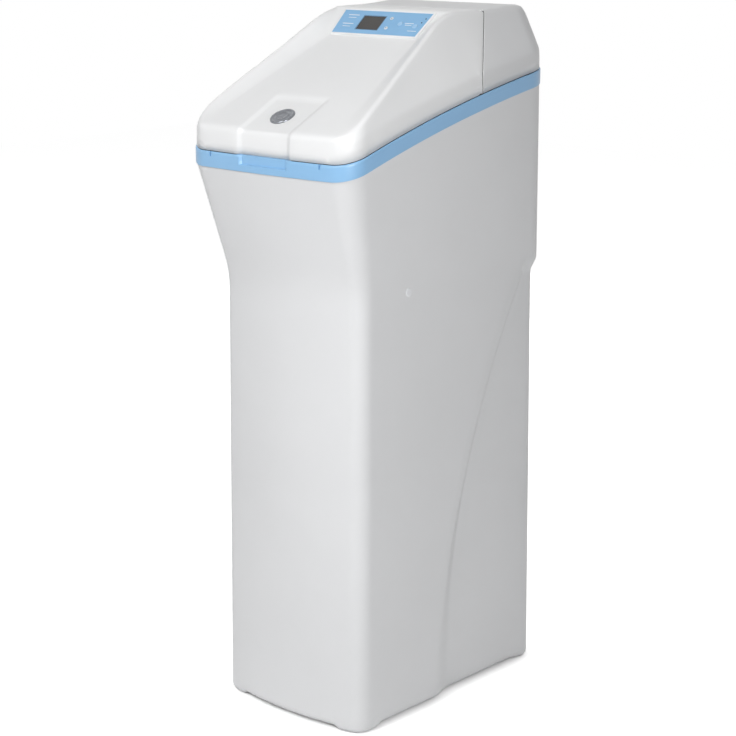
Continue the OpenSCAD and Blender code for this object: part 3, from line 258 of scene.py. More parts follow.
# plastics: two colours, roughness, grain, relief, clouds, coat; metals: two colours, roughness, stretch
finishes = {
    "case": plastic("whiteCase", (0.695, 0.70, 0.71), (0.675, 0.68, 0.69), 0.42, 1100, 0.12, 5.0),
    # the hood's white is a brighter copy of the case's and the cover's a darker one: painted light and
    # painted shade for how light falls on them
    "hood": plastic("whiteHoodPaintedLight", (0.79, 0.795, 0.80), (0.77, 0.775, 0.78), 0.36, 1300, 0.06, 6.0, 0.08),
    "cover": plastic("whiteCoverPaintedShade", (0.675, 0.68, 0.69), (0.655, 0.66, 0.67), 0.38, 1300, 0.06, 6.0, 0.05),
    "rim": plastic("blueRim", (0.25, 0.47, 0.72), (0.23, 0.445, 0.695), 0.33, 1200, 0.06, 9.0, 0.15),
    "panel": plastic("bluePanel", (0.235, 0.455, 0.70), (0.22, 0.435, 0.68), 0.5, 2500, 0.08, 30.0),
    "paleLine": plastic("paleInk", (0.72, 0.77, 0.82), (0.66, 0.72, 0.78), 0.55, 3000, 0.05, 60.0),
    "keyWhite": plastic("whiteKey", (0.76, 0.77, 0.79), (0.72, 0.73, 0.75), 0.3, 2600, 0.05, 40.0, 0.2),
    "keyBlue": plastic("blueKey", (0.34, 0.55, 0.78), (0.31, 0.52, 0.75), 0.32, 2600, 0.05, 40.0, 0.2),
    "keyMark": plastic("keyMark", (0.10, 0.20, 0.34), (0.08, 0.17, 0.30), 0.5, 3000, 0.05, 60.0),
    "lamp": plastic("smokedLamp", (0.02, 0.05, 0.10), (0.015, 0.04, 0.08), 0.15, 3000, 0.03, 60.0, 0.6),
    "natural": plastic("naturalPolymer", (0.62, 0.61, 0.56), (0.56, 0.55, 0.5), 0.45, 700, 0.15, 14.0),
    "tube": plastic("milkyTube", (0.68, 0.68, 0.65), (0.6, 0.6, 0.57), 0.3, 900, 0.08, 25.0, 0.2),
    "black": plastic("blackPolymer", (0.022, 0.022, 0.024), (0.032, 0.032, 0.034), 0.48, 800, 0.25, 20.0),
    "dark": plastic("charcoalPolymer", (0.045, 0.047, 0.052), (0.06, 0.062, 0.067), 0.42, 700, 0.25, 18.0),
    "grey": plastic("greyPolymer", (0.26, 0.27, 0.29), (0.22, 0.23, 0.25), 0.4, 800, 0.15, 20.0),
    "rubber": plastic("blackRubber", (0.015, 0.015, 0.016), (0.024, 0.024, 0.025), 0.7, 500, 0.3, 30.0),
    "steel": metal("drawnSteel", (0.58, 0.59, 0.61), (0.42, 0.43, 0.45), 0.28, (900, 60, 60)),
    "zinc": metal("platedZinc", (0.52, 0.53, 0.56), (0.38, 0.39, 0.42), 0.38, (300, 300, 120)),
    "badge": metal("badgeMetal", (0.28, 0.29, 0.31), (0.17, 0.18, 0.20), 0.22, (60, 700, 700)),
}


def makeTankShell():
    material, tree, shader = startMaterial("woundTank")
    useGroup(tree, shader, woundStrand, {
        "Base": (0.56, 0.53, 0.44, 1), "Shade": (0.4, 0.37, 0.3, 1), "Scale": 55.0},
        strength=0.35, depth=0.0006)
    setInputs(shader, {"Roughness": 0.35})
    return material


def makeResin():
    material, tree, shader = startMaterial("resinBeads")
    useGroup(tree, shader, beadPack, {
        "Base": (0.42, 0.17, 0.04, 1), "Shade": (0.16, 0.05, 0.01, 1), "Scale": 650.0},
        strength=0.7, depth=0.001)
    setInputs(shader, {"Roughness": 0.3})
    return material


# green board with a lattice of tracks
def makeBoard():
    material, tree, shader = startMaterial("greenBoard")
    tracks = addNode(tree, "ShaderNodeTexBrick", offset=0.37, squash=1.6)
    tree.links.new(objectCoords(tree), tracks.inputs["Vector"])
    setInputs(tracks, {"Color1": (0.018, 0.12, 0.045, 1), "Color2": (0.024, 0.16, 0.06, 1),
                       "Mortar": (0.05, 0.26, 0.1, 1), "Scale": 160.0, "Mortar Size": 0.06})
    tree.links.new(tracks.outputs["Color"], shader.inputs["Base Color"])
    addRelief(tree, shader, tracks.outputs["Fac"], strength=0.2, depth=0.0002)
    setInputs(shader, {"Roughness": 0.35})
    return material


# smoked display window: a dark pane with the faint cells of the unlit display behind it
def makeDisplay():
    material, tree, shader = startMaterial("smokedDisplay")
    coords = objectCoords(tree)
    cells = addNode(tree, "ShaderNodeTexBrick", offset=0.0, squash=1.0)
    tree.links.new(coords, cells.inputs["Vector"])
    setInputs(cells, {"Color1": (0.026, 0.023, 0.021, 1), "Color2": (0.030, 0.027, 0.025, 1),
                      "Mortar": (0.020, 0.018, 0.017, 1), "Scale": 420.0, "Mortar Size": 0.03})
    haze = mapValue(tree, noiseAt(tree, coords, 35.0), 0.3, 0.7, 0.0, 0.35)
    colour = blendColour(tree, haze, cells.outputs["Color"], (0.042, 0.038, 0.035, 1))
    tree.links.new(colour, shader.inputs["Base Color"])
    setInputs(shader, {"Roughness": 0.4, "Specular IOR Level": 0.35,
                       "Coat Weight": 0.15, "Coat Roughness": 0.08})
    return material


finishes.update(tank=makeTankShell(), resin=makeResin(), board=makeBoard(), display=makeDisplay())
print("materials made:", len(finishes))

# which finish each CAD piece wears
dress = {
    "natural": ["cam_gear", "meter_turbine", "port_clips", "brine_well", "well_cap"],
    "rubber": ["lead_grommet", "neck_seal", "port_seals", "venturi_gasket", "overflow_grommet"],
    "zinc": ["hinge_fixed_leaves", "hinge_lid_leaves", "motor"],
    "steel": ["hinge_pins", "cover_screws", "motor_pinion"],
    "panel": ["panel"],
    "display": ["display_lens"],
    "lamp": ["status_lamps"],
    "board": ["circuit_board"],
    # the side plug wears the brighter key white: a painted highlight for the light its small dome catches
    "keyWhite": ["up_button", "down_button", "side_plug"],
    "keyBlue": ["select_button", "recharge_button"],
    "tank": ["resin_tank"],
    "resin": ["resin_bed"],
    "black": ["tank_boot", "bottom_basket", "top_basket", "tank_clamp", "position_switch"],
    "dark": ["bulkhead", "valve_body", "valve_cover", "port_adaptors", "venturi_body"],
    "grey": ["drain_elbow", "venturi_cap", "brine_valve", "overflow_elbow", "meter_support"],
    "tube": ["riser_tube", "brine_tube", "float_rod", "brine_float"],
}
for finish, names in dress.items():
    for name in names:
        nodes[name].data.materials.clear()
        nodes[name].data.materials.append(finishes[finish])


# modelling helpers
def layGrid(rows):
    bm = bmesh.new()
    bmesh.ops.create_grid(bm, x_segments=len(rows[0]) - 1, y_segments=len(rows) - 1, size=0.5)
    verts = sorted(bm.verts, key=lambda v: (round(v.co.y, 5), round(v.co.x, 5)))
    for vert, place in zip(verts, (p for row in rows for p in row)):
        vert.co = Vector(place) * mm
    return bm


# sharp: degrees above which an edge stays crisp; merge: millimetres within which points join
def keepPiece(bm, name, finish, body, sharp, replaces=(), merge=0.03):
    bmesh.ops.remove_doubles(bm, verts=bm.verts, dist=merge * mm)
    bmesh.ops.recalc_face_normals(bm, faces=bm.faces)
    mesh = bpy.data.meshes.new(name)
    bm.to_mesh(mesh)
    bm.free()
    mesh.shade_smooth()
    mesh.set_sharp_from_angle(angle=math.radians(sharp))
    mesh.materials.append(finishes[finish])
    piece = bpy.data.objects.new(name, mesh)
    bpy.context.scene.collection.objects.link(piece)
    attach(piece, body)
    if replaces:
        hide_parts(*replaces)
    return piece


# cabinet, in millimetres
caseShape = {
    "halfWide": 175.0, "halfDeep": 254.0, "corner": 40.0, "rearCorner": 62.0,
    "low": (150.0, 171.0, -206.0, 252.0, 32.0, 30.0, 15.0),   # half widths, front, rear, radii, bow
    "waist": (-4.0, -9.5, 7.0, 0.0, 0.0, 0.0, 0.0),           # change of these up to the shoulder
    "wall": 4.0, "tubInset": 1.5, "floor": 10.0, "round": 11.0, "leastCorner": 6.0,
    "flareZ": 715.0, "flareSoft": 0.16, "notchHalf": 88.0, "notchZ": 925.0,
    "bow": 6.0, "bowFrom": 60.0, "bowHalf": 150.0, "narrow": 0.03,
}
sweepShape = {"top": 686.0, "deep": 12.0, "foot": 2.0, "head": 197.0, "curve": 2.1,
              "soft": 50.0, "crisp": 20.0, "softUpTo": 430.0, "fade": 28.0}
footShape = {"high": 6.0, "inner": 96.0, "front": -150.0, "rear": 214.0, "blend": 14.0, "rearBlend": 10.0}
rimShape = {"front": 913.0, "rise": 115.0, "crown": 46.0, "high": 24.0, "wide": 11.0, "skirt": 8.0}
topLevel = (caseShape["halfWide"], caseShape["halfWide"], -caseShape["halfDeep"], caseShape["halfDeep"],
            caseShape["corner"], caseShape["rearCorner"], 0.0)
# columns over half the front, as shares of its flat; they lie close at the grip and the tabs
frontXs = [0, 0.1, 0.2, 0.29, 0.348, 0.362, 0.376, 0.45, 0.55, 0.67, 0.78, 0.845, 0.849, 0.87, 0.874, 0.93]


# the front of the rim and the lid is a little narrower and bowed
def bowFront(place):
    x, y, z = place
    share = clamp((caseShape["bowFrom"] - y) / (caseShape["bowFrom"] + caseShape["halfDeep"]))
    bow = caseShape["bow"] * share ** 2 * min(1.0, (x / caseShape["bowHalf"]) ** 2)
    return x * (1 - caseShape["narrow"] * share), y + bow, z


def rimTop(y):
    t = (y + caseShape["halfDeep"]) / (2 * caseShape["halfDeep"])
    return rimShape["front"] + rimShape["rise"] * t + rimShape["crown"] * t * (1 - t)


def rimLow(y):
    return rimTop(y) - rimShape["high"]


def inset(level, o):
    halfFront, halfRear, frontY, rearY, corner, rearCorner, bow = level
    least = caseShape["leastCorner"]
    return (halfFront - o, halfRear - o, frontY + o, rearY - o,
            max(least, corner - o), max(least, rearCorner - o), bow)


def lowLevel(z):
    share = clamp(z / caseShape["flareZ"])
    return tuple(a + share * b for a, b in zip(caseShape["low"], caseShape["waist"]))


# half an outline from the middle of the front round to the middle of the rear, with a step in its side
def halfOutline(level, deep=0.0, stepY=60.0, stepWide=20.0):
    halfFront, halfRear, frontY, rearY, corner, rearCorner, bow = level
    front, rear = frontY + corner, rearY - rearCorner
    def side(y):
        return mix(halfFront, halfRear, (y - front) / (rear - front))
    flat = halfFront - corner
    turn = math.atan(2 * bow / (halfFront - 0.75 * corner))
    bowX, bowY = flat + corner * math.sin(turn), front - corner * math.cos(turn)
    points = [(bowX * s, bowY - bow * (1 - s * s)) for s in frontXs]
    points += [(flat + corner * math.sin(a), front - corner * math.cos(a))
               for a in steps(turn, math.pi / 2, 12)]
    stepStart, stepEnd = stepY - stepWide / 2, stepY + stepWide / 2
    stepDeep = min(deep, 0.5 * stepWide)   # a crisp step is shallow, and the side behind it leans in
    points += [(side(y), y) for y in steps(front, stepStart, 14)[1:]]
    points += [(side(y) - stepDeep * ease((y - stepStart) / stepWide), y)
               for y in steps(stepStart, stepEnd, 6)[1:]]
    points += [(side(y) - mix(stepDeep, deep, (y - stepEnd) / (rear - stepEnd)), y)
               for y in steps(stepEnd, rear, 6)[1:-1]]
    points += [(halfRear - deep - rearCorner + rearCorner * math.cos(a), rear + rearCorner * math.sin(a))
               for a in steps(0.0, math.pi / 2, 9)]
    edge = caseShape["notchHalf"]
    return points + [(edge + 1, rearY), (edge, rearY), (edge * 0.5, rearY), (0.0, rearY)]


def topOutline(o):
    return halfOutline(inset(topLevel, o))


def mirrored(ring):
    return ring + [(-x, y, z) for x, y, z in reversed(ring[:-1])]


def wholeRing(half, height):
    return mirrored([(x, y, height(x, y)) for x, y in half])


# height of the cabinet's base, lowered to the floor at the four corner feet
def footDrop(x, y):
    atSide = ease((abs(x) - footShape["inner"]) / footShape["blend"])
    atFront = ease((footShape["front"] - y) / footShape["blend"])
    atRear = ease((y - footShape["rear"]) / footShape["rearBlend"])
    return footShape["high"] * (1 - clamp(atSide * (atFront + atRear)))


def sweepY(z):
    return mix(sweepShape["foot"], sweepShape["head"], clamp(z / sweepShape["top"]) ** sweepShape["curve"])


# the step is soft at the foot and crisp above
def sweepWide(z):
    return mix(sweepShape["soft"], sweepShape["crisp"], ease(z / sweepShape["softUpTo"]))


def wallRing(z, o, deepShare=1.0):
    return halfOutline(inset(lowLevel(z), o), sweepShape["deep"] * deepShare, sweepY(z), sweepWide(z))


# the shoulder: from the sweep's head up to the edge under the rim
def shoulderRing(share, o):
    base, flareZ = sweepShape["top"], caseShape["flareZ"]
    ring = []
    for index, (x, y) in enumerate(topOutline(caseShape["tubInset"] + o)):
        inNotch = x < caseShape["notchHalf"] + 0.5 and y > 0
        edge = rimLow(y)
        z = mix(base, caseShape["notchZ"] if inNotch else edge, share)
        x0, y0 = wallRing(z, o, 1 - ease((z - base) / sweepShape["fade"]))[index]
        x1, y1, z = bowFront((x, y, z))
        rise = (z - flareZ) / (edge - flareZ)
        flare = -softMin(-rise, 0.0, caseShape["flareSoft"]) if rise < 0.5 else rise
        ring.append((mix(x0, x1, flare), mix(y0, y1, flare), z))
    return mirrored(ring)


def makeCabinet():
    wall, floor, base, rounding = caseShape["wall"], caseShape["floor"], footShape["high"], caseShape["round"]
    def flatRing(z, o, up):
        return wholeRing(wallRing(z, o), lambda x, y: up)
    rows = [flatRing(0.0, 60, base)] + [wholeRing(wallRing(0.0, o), footDrop) for o in (48, 40)]
    for a in steps(0.0, math.pi / 2, 4):   # rounded lower edge
        up = rounding * (1 - math.cos(a))
        half = wallRing(0.0, rounding * (1 - math.sin(a)))
        rows.append(wholeRing(half, lambda x, y: footDrop(x, y) + up))
    heights = steps(20.0, sweepShape["top"], 46)
    shares = [0.02, 0.05, 0.08, 0.11, 0.14, 0.17, 0.2, 0.24, 0.28, 0.34, 0.42, 0.55, 0.7, 0.85, 0.97]
    rows += [flatRing(z, 0, z) for z in heights]
    rows += [shoulderRing(s, 0) for s in shares]
    rows += [shoulderRing(1.0, o) for o in (0.0, 1.0, 3.0)]
    rows += [shoulderRing(s, wall) for s in [1.0] + shares[::-1]]
    rows += [flatRing(z, wall, z) for z in heights[:0:-1]]
    rows += [flatRing(heights[0], o, floor) for o in (6, 20)]
    count = len(rows[0])
    rows = [[(0.0, 0.0, base)] * count] + rows + [[(0.0, 0.0, floor)] * count]
    rows = [row + row[:1] for row in rows]
    keepPiece(layGrid(rows), "cabinetShell", "case", "housing", 40, ["cabinet"])


# rim: a hooked band with a finger grip and two small tabs in its front
gripShape = {"half": 50.0, "deep": 4.0, "low": 13.0, "soft": 2.5,
             "tabX": 116.0, "tabHalf": 1.6, "tabHigh": 6.0}


def makeRim():
    high, wide, skirt, deep = rimShape["high"], rimShape["wide"], rimShape["skirt"], gripShape["deep"]
    grip, tab = high - gripShape["low"], high - gripShape["tabHigh"]
    hook = caseShape["tubInset"] + caseShape["wall"] + 0.4
    section = [(0.6, 0.0), (0.15, 0.3), (0, 1.0), (0, grip - 0.6), (0, grip + 0.6), (0, tab - 1),
               (0, tab + 0.4), (0, high - 2), (0.4, high - 0.8), (1.2, high - 0.2), (2.2, high),
               (wide - 0.8, high), (wide, high - 0.8), (wide, -skirt), (hook + 2.6, -skirt),
               (hook, 0.3), (1.8, 0.3)]
    rows = []
    for o, up in section:
        row = []
        for x, y in topOutline(o):
            push = 0.0
            if y < -caseShape["halfDeep"] + 6 and o < deep and up > grip:
                push = (deep - o) * ease((gripShape["half"] - x) / gripShape["soft"])
                if abs(x - gripShape["tabX"]) < gripShape["tabHalf"] and up > tab:
                    push = deep - o
            row.append(bowFront((x, y + push, rimLow(y) + up)))
        rows.append(mirrored(row) + row[:1])
    keepPiece(layGrid(rows + rows[:1]), "rimBand", "rim", "housing", 38, ["rim"])


# hood: lid in front of the seam, cover behind it
hoodShape = {
    "halfWide": 173.0, "halfDeep": 252.0, "corner": 38.0, "rearCorner": 60.0, "topZ": 1120.0, "band": 30.0,
    "draft": 0.8, "skin": 3.0, "gap": 1.4, "lean": 0.52, "swell": 4.0, "ridge": 10.0, "ridgeSoft": 18.0,
    "shoulder": 28.0, "dish": 27.0, "dishSoft": 8.0, "roll": 17.0, "rollUp": 29.0,
    "channelHalf": 46.0, "flank": 12.0, "channelDeep": 4.0, "channelEnd": -170.0, "channelRamp": 14.0,
    "crown": 4.0, "crownFrom": 122.0, "crownRun": 70.0, "crownTo": 242.0, "crownEnd": 30.0,
    "swellIn": 0.18, "swellOut": 0.8, "swellFade": 0.6, "leastRidge": 5.0, "shelfRise": 1.1,
    "seamY": 62.0, "seamTopY": 120.0, "seamGap": 0.7, "hingeRoll": 6.5, "coverY": 150.0,
    "rearZ": 1042.0, "rearSteep": 3.1, "rearSoft": 12.0,
}
panelShape = {"y": 3.0, "z": 1080.0, "angle": 39.0, "long": 52.0, "topHalf": 90.0, "lowHalf": 85.5,
              "shelf": 3.2, "windowHalf": 79.0, "windowLow": 7.0, "face": 3.4, "border": 2.5}
panelTilt = math.radians(panelShape["angle"])
shelfY = panelShape["y"] - panelShape["shelf"] * math.cos(panelTilt)
shelfZ = panelShape["z"] - panelShape["shelf"] * math.sin(panelTilt)
shelfTopY = panelShape["y"] + (panelShape["long"] + panelShape["shelf"]) * math.cos(panelTilt)
shelfTopZ = panelShape["z"] + (panelShape["long"] + panelShape["shelf"]) * math.sin(panelTilt)
rollY = -hoodShape["halfDeep"] + hoodShape["roll"]
rollZ = rimShape["front"] + hoodShape["rollUp"]
# the face is tangent to the front roll and ends at the panel
faceTilt = math.atan2(shelfZ - rollZ, shelfY - rollY) - math.asin(
    hoodShape["roll"] / math.hypot(shelfY - rollY, shelfZ - rollZ))
rollEnd = rollY - hoodShape["roll"] * math.sin(faceTilt)
ridgeSlope = math.tan(faceTilt) + hoodShape["dish"] / (shelfY - rollEnd)


def faceZ(y):
    return shelfZ + math.tan(faceTilt) * (y - shelfY)


def hoodHalf(y):
    corner = hoodShape["corner" if y < 0 else "rearCorner"]
    over = max(0.0, abs(y) - hoodShape["halfDeep"] + corner)
    return hoodShape["halfWide"] - corner + math.sqrt(max(0.0, corner ** 2 - over ** 2))


def rearLine(y):
    slope = hoodShape["rearZ"] + (hoodShape["halfDeep"] - y) * hoodShape["rearSteep"]
    return softMin(hoodShape["topZ"], slope, hoodShape["rearSoft"])


def centreZ(y):
    if y < rollEnd:
        return rollZ + math.sqrt(max(0.0, hoodShape["roll"] ** 2 - (y - rollY) ** 2))
    if y <= shelfY:
        return faceZ(y)
    if y <= shelfTopY:
        return shelfZ + (y - shelfY) * math.tan(panelTilt)
    crown = hoodShape["crown"] * ease((y - hoodShape["crownFrom"]) / hoodShape["crownRun"])
    crown *= ease((hoodShape["crownTo"] - y) / hoodShape["crownEnd"])
    return min(rearLine(y), shelfTopZ + (y - shelfTopY) * hoodShape["shelfRise"]) + crown


def ridgeZ(y):
    if y < rollEnd:
        return centreZ(y)
    return softMin(faceZ(rollEnd) + ridgeSlope * (y - rollEnd), rearLine(y), hoodShape["ridgeSoft"])


def channelAt(y):
    ramp = hoodShape["channelRamp"]
    return hoodShape["channelDeep"] * ease((hoodShape["channelEnd"] + ramp - y) / ramp)


# half a section across the hood, from the edge above the rim to the middle
def halfSection(y):
    share = (y - rollEnd) / (shelfY - rollEnd)
    swell = hoodShape["swell"] * ease(share / hoodShape["swellIn"])   # fuller ridge near the front
    swell *= ease((hoodShape["swellOut"] - share) / hoodShape["swellFade"])
    ridge, mid, half = ridgeZ(y) + swell, centreZ(y), hoodHalf(y)
    edge = rimTop(y) + hoodShape["gap"]
    band = min(rimTop(y) + hoodShape["band"], ridge - hoodShape["leastRidge"])
    foot = Vector((half - hoodShape["draft"], band))
    top = Vector((foot.x - hoodShape["lean"] * (ridge - band) + 1.5 * swell, ridge))
    shoulder = mix(hoodShape["shoulder"], hoodShape["ridge"] + 1, clamp((y - shelfY) / (shelfTopY - shelfY)))
    low = Vector((top.x - shoulder, mid))
    out = top + (foot - top).normalized() * min(hoodShape["ridge"], 0.45 * (foot - top).length)
    inner = mix(top, low, hoodShape["ridge"] / (shoulder + 6))
    inside = Vector((low.x - hoodShape["dishSoft"], mid))
    flankTop = hoodShape["channelHalf"] + hoodShape["flank"]
    wall = Vector((mix(half, foot.x, 0.6), mix(edge, band, 0.6)))
    down = mix(wall, foot, 0.5)
    up = foot + (out - foot).normalized() * min(6.0, 0.3 * (foot - out).length)
    points = [(half, edge), tuple(wall)]
    points += [tuple(bend(down, foot, up, t)) for t in (0.0, 0.33, 0.67, 1.0)]
    points += [tuple(mix(up, out, t)) for t in (0.2, 0.4, 0.6, 0.8)]
    points += [tuple(bend(out, top, inner, t)) for t in steps(0.0, 1.0, 9)]
    points += [tuple(bend(inner, low, inside, t)) for t in steps(0.0, 1.0, 8)[1:]]
    points += [(mix(inside.x, flankTop, t), mid) for t in (0.35, 0.7, 1.0)]
    points += [(flankTop - hoodShape["flank"] * t, mid) for t in (0.2, 0.4, 0.6, 0.8, 1.0)]
    points += [(hoodShape["channelHalf"] * t, mid) for t in (0.66, 0.33, 0.0)]
    return points


columns = len(halfSection(0.0))
ridgeFrom, ridgeTo = 10, 19      # columns of the rounded ridge
dishEnd = 27                     # column where the dish is level
flankFrom, flankTo = 30, 35      # columns of the channel's flank


def sunkAt(index, y):
    if index <= flankFrom:
        return 0.0
    return channelAt(y) * ease((index - flankFrom) / (flankTo - flankFrom))


def bothSides(half):
    half = [bowFront(place) for place in half]
    return [(-x, y, z) for x, y, z in half] + half[-2::-1]


def flatRow(y):
    front = clamp((rollEnd - y) / (rollEnd + hoodShape["halfDeep"]))
    row = []
    for index, (x, z) in enumerate(halfSection(y)):
        sunk = sunkAt(index, y)
        row.append((x, y + sunk * front, z - sunk * (1 - 0.7 * front)))
    return bothSides(row)


# upright end of the hood, at the front (-1) or the rear (1)
def endRow(side, up):
    y = side * hoodShape["halfDeep"]
    edge = rimTop(y) + hoodShape["gap"]
    section = halfSection(y)
    row = []
    for index, (x, z) in enumerate(section):
        if index < dishEnd:
            x = mix(hoodHalf(y) - 4, section[dishEnd][0], index / dishEnd)
        dent = sunkAt(index, y) if side < 0 else 0.0
        row.append((x, y + dent, mix(edge, min(z, centreZ(y)), up)))
    return bothSides(row)


# seam: upright on the band, then slanting back to the flat top
seamBandZ = rimTop(hoodShape["seamY"]) + hoodShape["band"]
seamSlope = (hoodShape["seamTopY"] - hoodShape["seamY"]) / (hoodShape["topZ"] - seamBandZ)


def seamPlace(index, shift):
    y = hoodShape["seamY"]
    for _ in range(6):   # settle height and slant together
        over = halfSection(y + shift)[index][1] - seamBandZ
        y = min(hoodShape["seamTopY"], hoodShape["seamY"] + max(0.0, over) * seamSlope)
    return y + shift


def seamRow(shift, turn):
    back = hoodShape["hingeRoll"] * (1 - math.sin(turn))
    drop = hoodShape["hingeRoll"] * (1 - math.cos(turn))
    row = []
    for index in range(columns):
        y = seamPlace(index, shift)
        x, z = halfSection(y)[index]
        row.append((x, y - back, z - drop * ease((index - ridgeFrom - 3) / 4)))
    return bothSides(row)


def coverRow(share):
    row = []
    for index in range(columns):
        y = mix(seamPlace(index, hoodShape["seamGap"]), hoodShape["coverY"], share)
        x, z = halfSection(y)[index]
        row.append((x, y, z))
    return bothSides(row)


def thicken(piece, thickness, offset=-1):
    wall = piece.modifiers.new("wall", "SOLIDIFY")
    wall.thickness = thickness * mm
    wall.offset = offset
    wall.use_even_offset = False


def spaced(values, least):
    kept = []
    for value in sorted(values):
        if not kept or value - kept[-1] > least:
            kept.append(value)
    return kept


def cornerRows(corner):
    return [corner * (1 - math.sin(math.radians(a))) for a in range(0, 91, 6)]


panelPlace = Matrix.Translation(Vector((0, panelShape["y"], panelShape["z"])) * mm)
panelPlace = panelPlace @ Matrix.Rotation(panelTilt, 4, "X")


def cutWindow(bm):
    half, low = panelShape["windowHalf"], panelShape["windowLow"]
    high = panelShape["long"] - low
    turn, back = panelPlace.to_3x3(), panelPlace.inverted()
    sides = [(half, 0, (1, 0, 0)), (-half, 0, (-1, 0, 0)), (0, low, (0, -1, 0)), (0, high, (0, 1, 0))]
    for x, y, way in sides:
        bmesh.ops.bisect_plane(bm, geom=bm.verts[:] + bm.edges[:] + bm.faces[:], dist=1e-6,
                               plane_co=panelPlace @ Vector((x * mm, y * mm, 0)), plane_no=turn @ Vector(way))
    inside = []
    for face in bm.faces:
        spot = (back @ face.calc_center_median()) / mm
        if abs(spot.x) < half and low < spot.y < high and abs(spot.z) < 6:
            inside.append(face)
    bmesh.ops.delete(bm, geom=inside, context="FACES")


def makeLid():
    arc = [-hoodShape["halfDeep"] + d for d in cornerRows(hoodShape["corner"])]
    roll = [rollY - hoodShape["roll"] * math.cos(math.radians(a)) for a in range(0, 61, 6)]
    ends = steps(hoodShape["channelEnd"], hoodShape["channelEnd"] + hoodShape["channelRamp"], 4)
    run = steps(rollEnd, shelfY - 1.5, 24) + [shelfY, shelfY + 1.5] + steps(shelfY + 8, shelfTopY - 1, 5)
    run += [shelfTopY, shelfTopY + 1.5, shelfTopY + 4, shelfTopY + 6]
    ys = spaced(arc + roll + ends + run, 0.55)
    ys[0] = -hoodShape["halfDeep"]
    rows = [endRow(-1, t) for t in (0.0, 0.5)] + [flatRow(y) for y in ys]
    rows += [seamRow(-hoodShape["seamGap"], math.radians(a)) for a in (0, 20, 40, 60, 76)]
    bm = layGrid(rows)
    cutWindow(bm)
    piece = keepPiece(bm, "lidShell", "hood", "hood", 28, ["lid"])
    thicken(piece, hoodShape["skin"])


def makeRearCover():
    arc = [hoodShape["halfDeep"] - d for d in cornerRows(hoodShape["rearCorner"])]
    ys = spaced(arc + steps(hoodShape["coverY"] + 8, hoodShape["halfDeep"] - 2, 20), 0.6)
    rows = [coverRow(t) for t in (0.0, 0.03, 0.25, 0.5, 0.75, 1.0)]
    rows += [flatRow(y) for y in ys if y > hoodShape["coverY"] + 1] + [endRow(1, t) for t in (0.5, 0.0)]
    piece = keepPiece(layGrid(rows), "rearShell", "cover", "housing", 28, ["rear_cover"])
    thicken(piece, hoodShape["skin"])


# dark strips under the edge of the hood and in the seam on each side: painted shade, dark sheets standing for
# the shadow in the gaps
gapShadeShape = {"out": 2.7, "in": 5.0, "low": 0.03, "high": 1.25,
             "seamHalf": 0.68, "seamDeep": 0.5, "seamThick": 0.8}


def makeRimGapShade():
    out, back, low, high = (gapShadeShape[key] for key in ("out", "in", "low", "high"))
    rows = []
    for o, up in ((out, low), (out, high), (back, high), (back, low)):
        row = []
        for x, y in topOutline(o):
            push = 0.0
            if y < -caseShape["halfDeep"] + 8:   # behind the grip
                push = gripShape["deep"] * ease((gripShape["half"] + 3 - x) / gripShape["soft"])
            row.append(bowFront((x, y + push, rimTop(y) + up)))
        rows.append(mirrored(row) + row[:1])
    keepPiece(layGrid(rows + rows[:1]), "rimGapShade", "rubber", "housing", 40)


# a dark strip inside the seam: painted shade for the shadow in the gap
def makeSeamGapShade(name, side):
    deep = gapShadeShape["seamDeep"]
    rows = []
    for shift in (-gapShadeShape["seamHalf"], gapShadeShape["seamHalf"]):
        row = []
        for index in range(ridgeTo - 3):
            y = seamPlace(index, shift)
            x, z = halfSection(y)[index]
            row.append((side * (x - deep), y, z - 0.4 * deep))
        rows.append(row)
    piece = keepPiece(layGrid(rows), name, "rubber", "housing", 40)
    thicken(piece, gapShadeShape["seamThick"], 0)


makeCabinet()
makeRim()
makeLid()
makeRearCover()
makeRimGapShade()
makeSeamGapShade("seamGapShadeRight", 1)
makeSeamGapShade("seamGapShadeLeft", -1)
print("shells made")


# control panel trim, modelled flat on the panel plane and then laid in place
def onPanel(bm):
    bmesh.ops.transform(bm, matrix=panelPlace, verts=bm.verts)
    return bm


# walls between loops of four corners
def joinLoops(bm, loops):
    for a, b in zip(loops, loops[1:]):
        for i in range(4):
            j = (i + 1) % 4
            bm.faces.new((a[i], a[j], b[j], b[i]))


# lifts flat faces into thin plates
def raiseFaces(bm, high):
    lifted = bmesh.ops.extrude_face_region(bm, geom=bm.faces[:])
    verts = [part for part in lifted["geom"] if isinstance(part, bmesh.types.BMVert)]
    bmesh.ops.translate(bm, vec=(0, 0, high * mm), verts=verts)


def makePanelFrame():
    low, top, long, grow = (panelShape[key] for key in ("lowHalf", "topHalf", "long", "border"))
    section = [(grow, 0.1), (grow, 2.6), (grow - 0.8, 3.7), (0.9, 3.9),
               (0.15, panelShape["face"]), (0.15, 0.1)]
    bm = bmesh.new()
    loops = []
    for o, z in section:
        corners = [(-low - o, -o), (low + o, -o), (top + o, long + o), (-top - o, long + o)]
        loops.append([bm.verts.new((x * mm, y * mm, z * mm)) for x, y in corners])
    joinLoops(bm, loops + loops[:1])
    keepPiece(onPanel(bm), "panelBorder", "hood", "hood", 30, ["panel_frame"])


# print on the panel: plain bars, each with its middle, width and height
printShape = {"lift": 0.02, "thick": 0.08, "bars": [
    (-65, 41, 22, 1.7), (-65, 35, 16, 1.2), (-65, 21, 22, 1.7), (-65, 15, 16, 1.2),
    (57, 28, 18, 1.3), (57, 24, 13, 1.3), (72, 11.5, 18, 1.3)]}


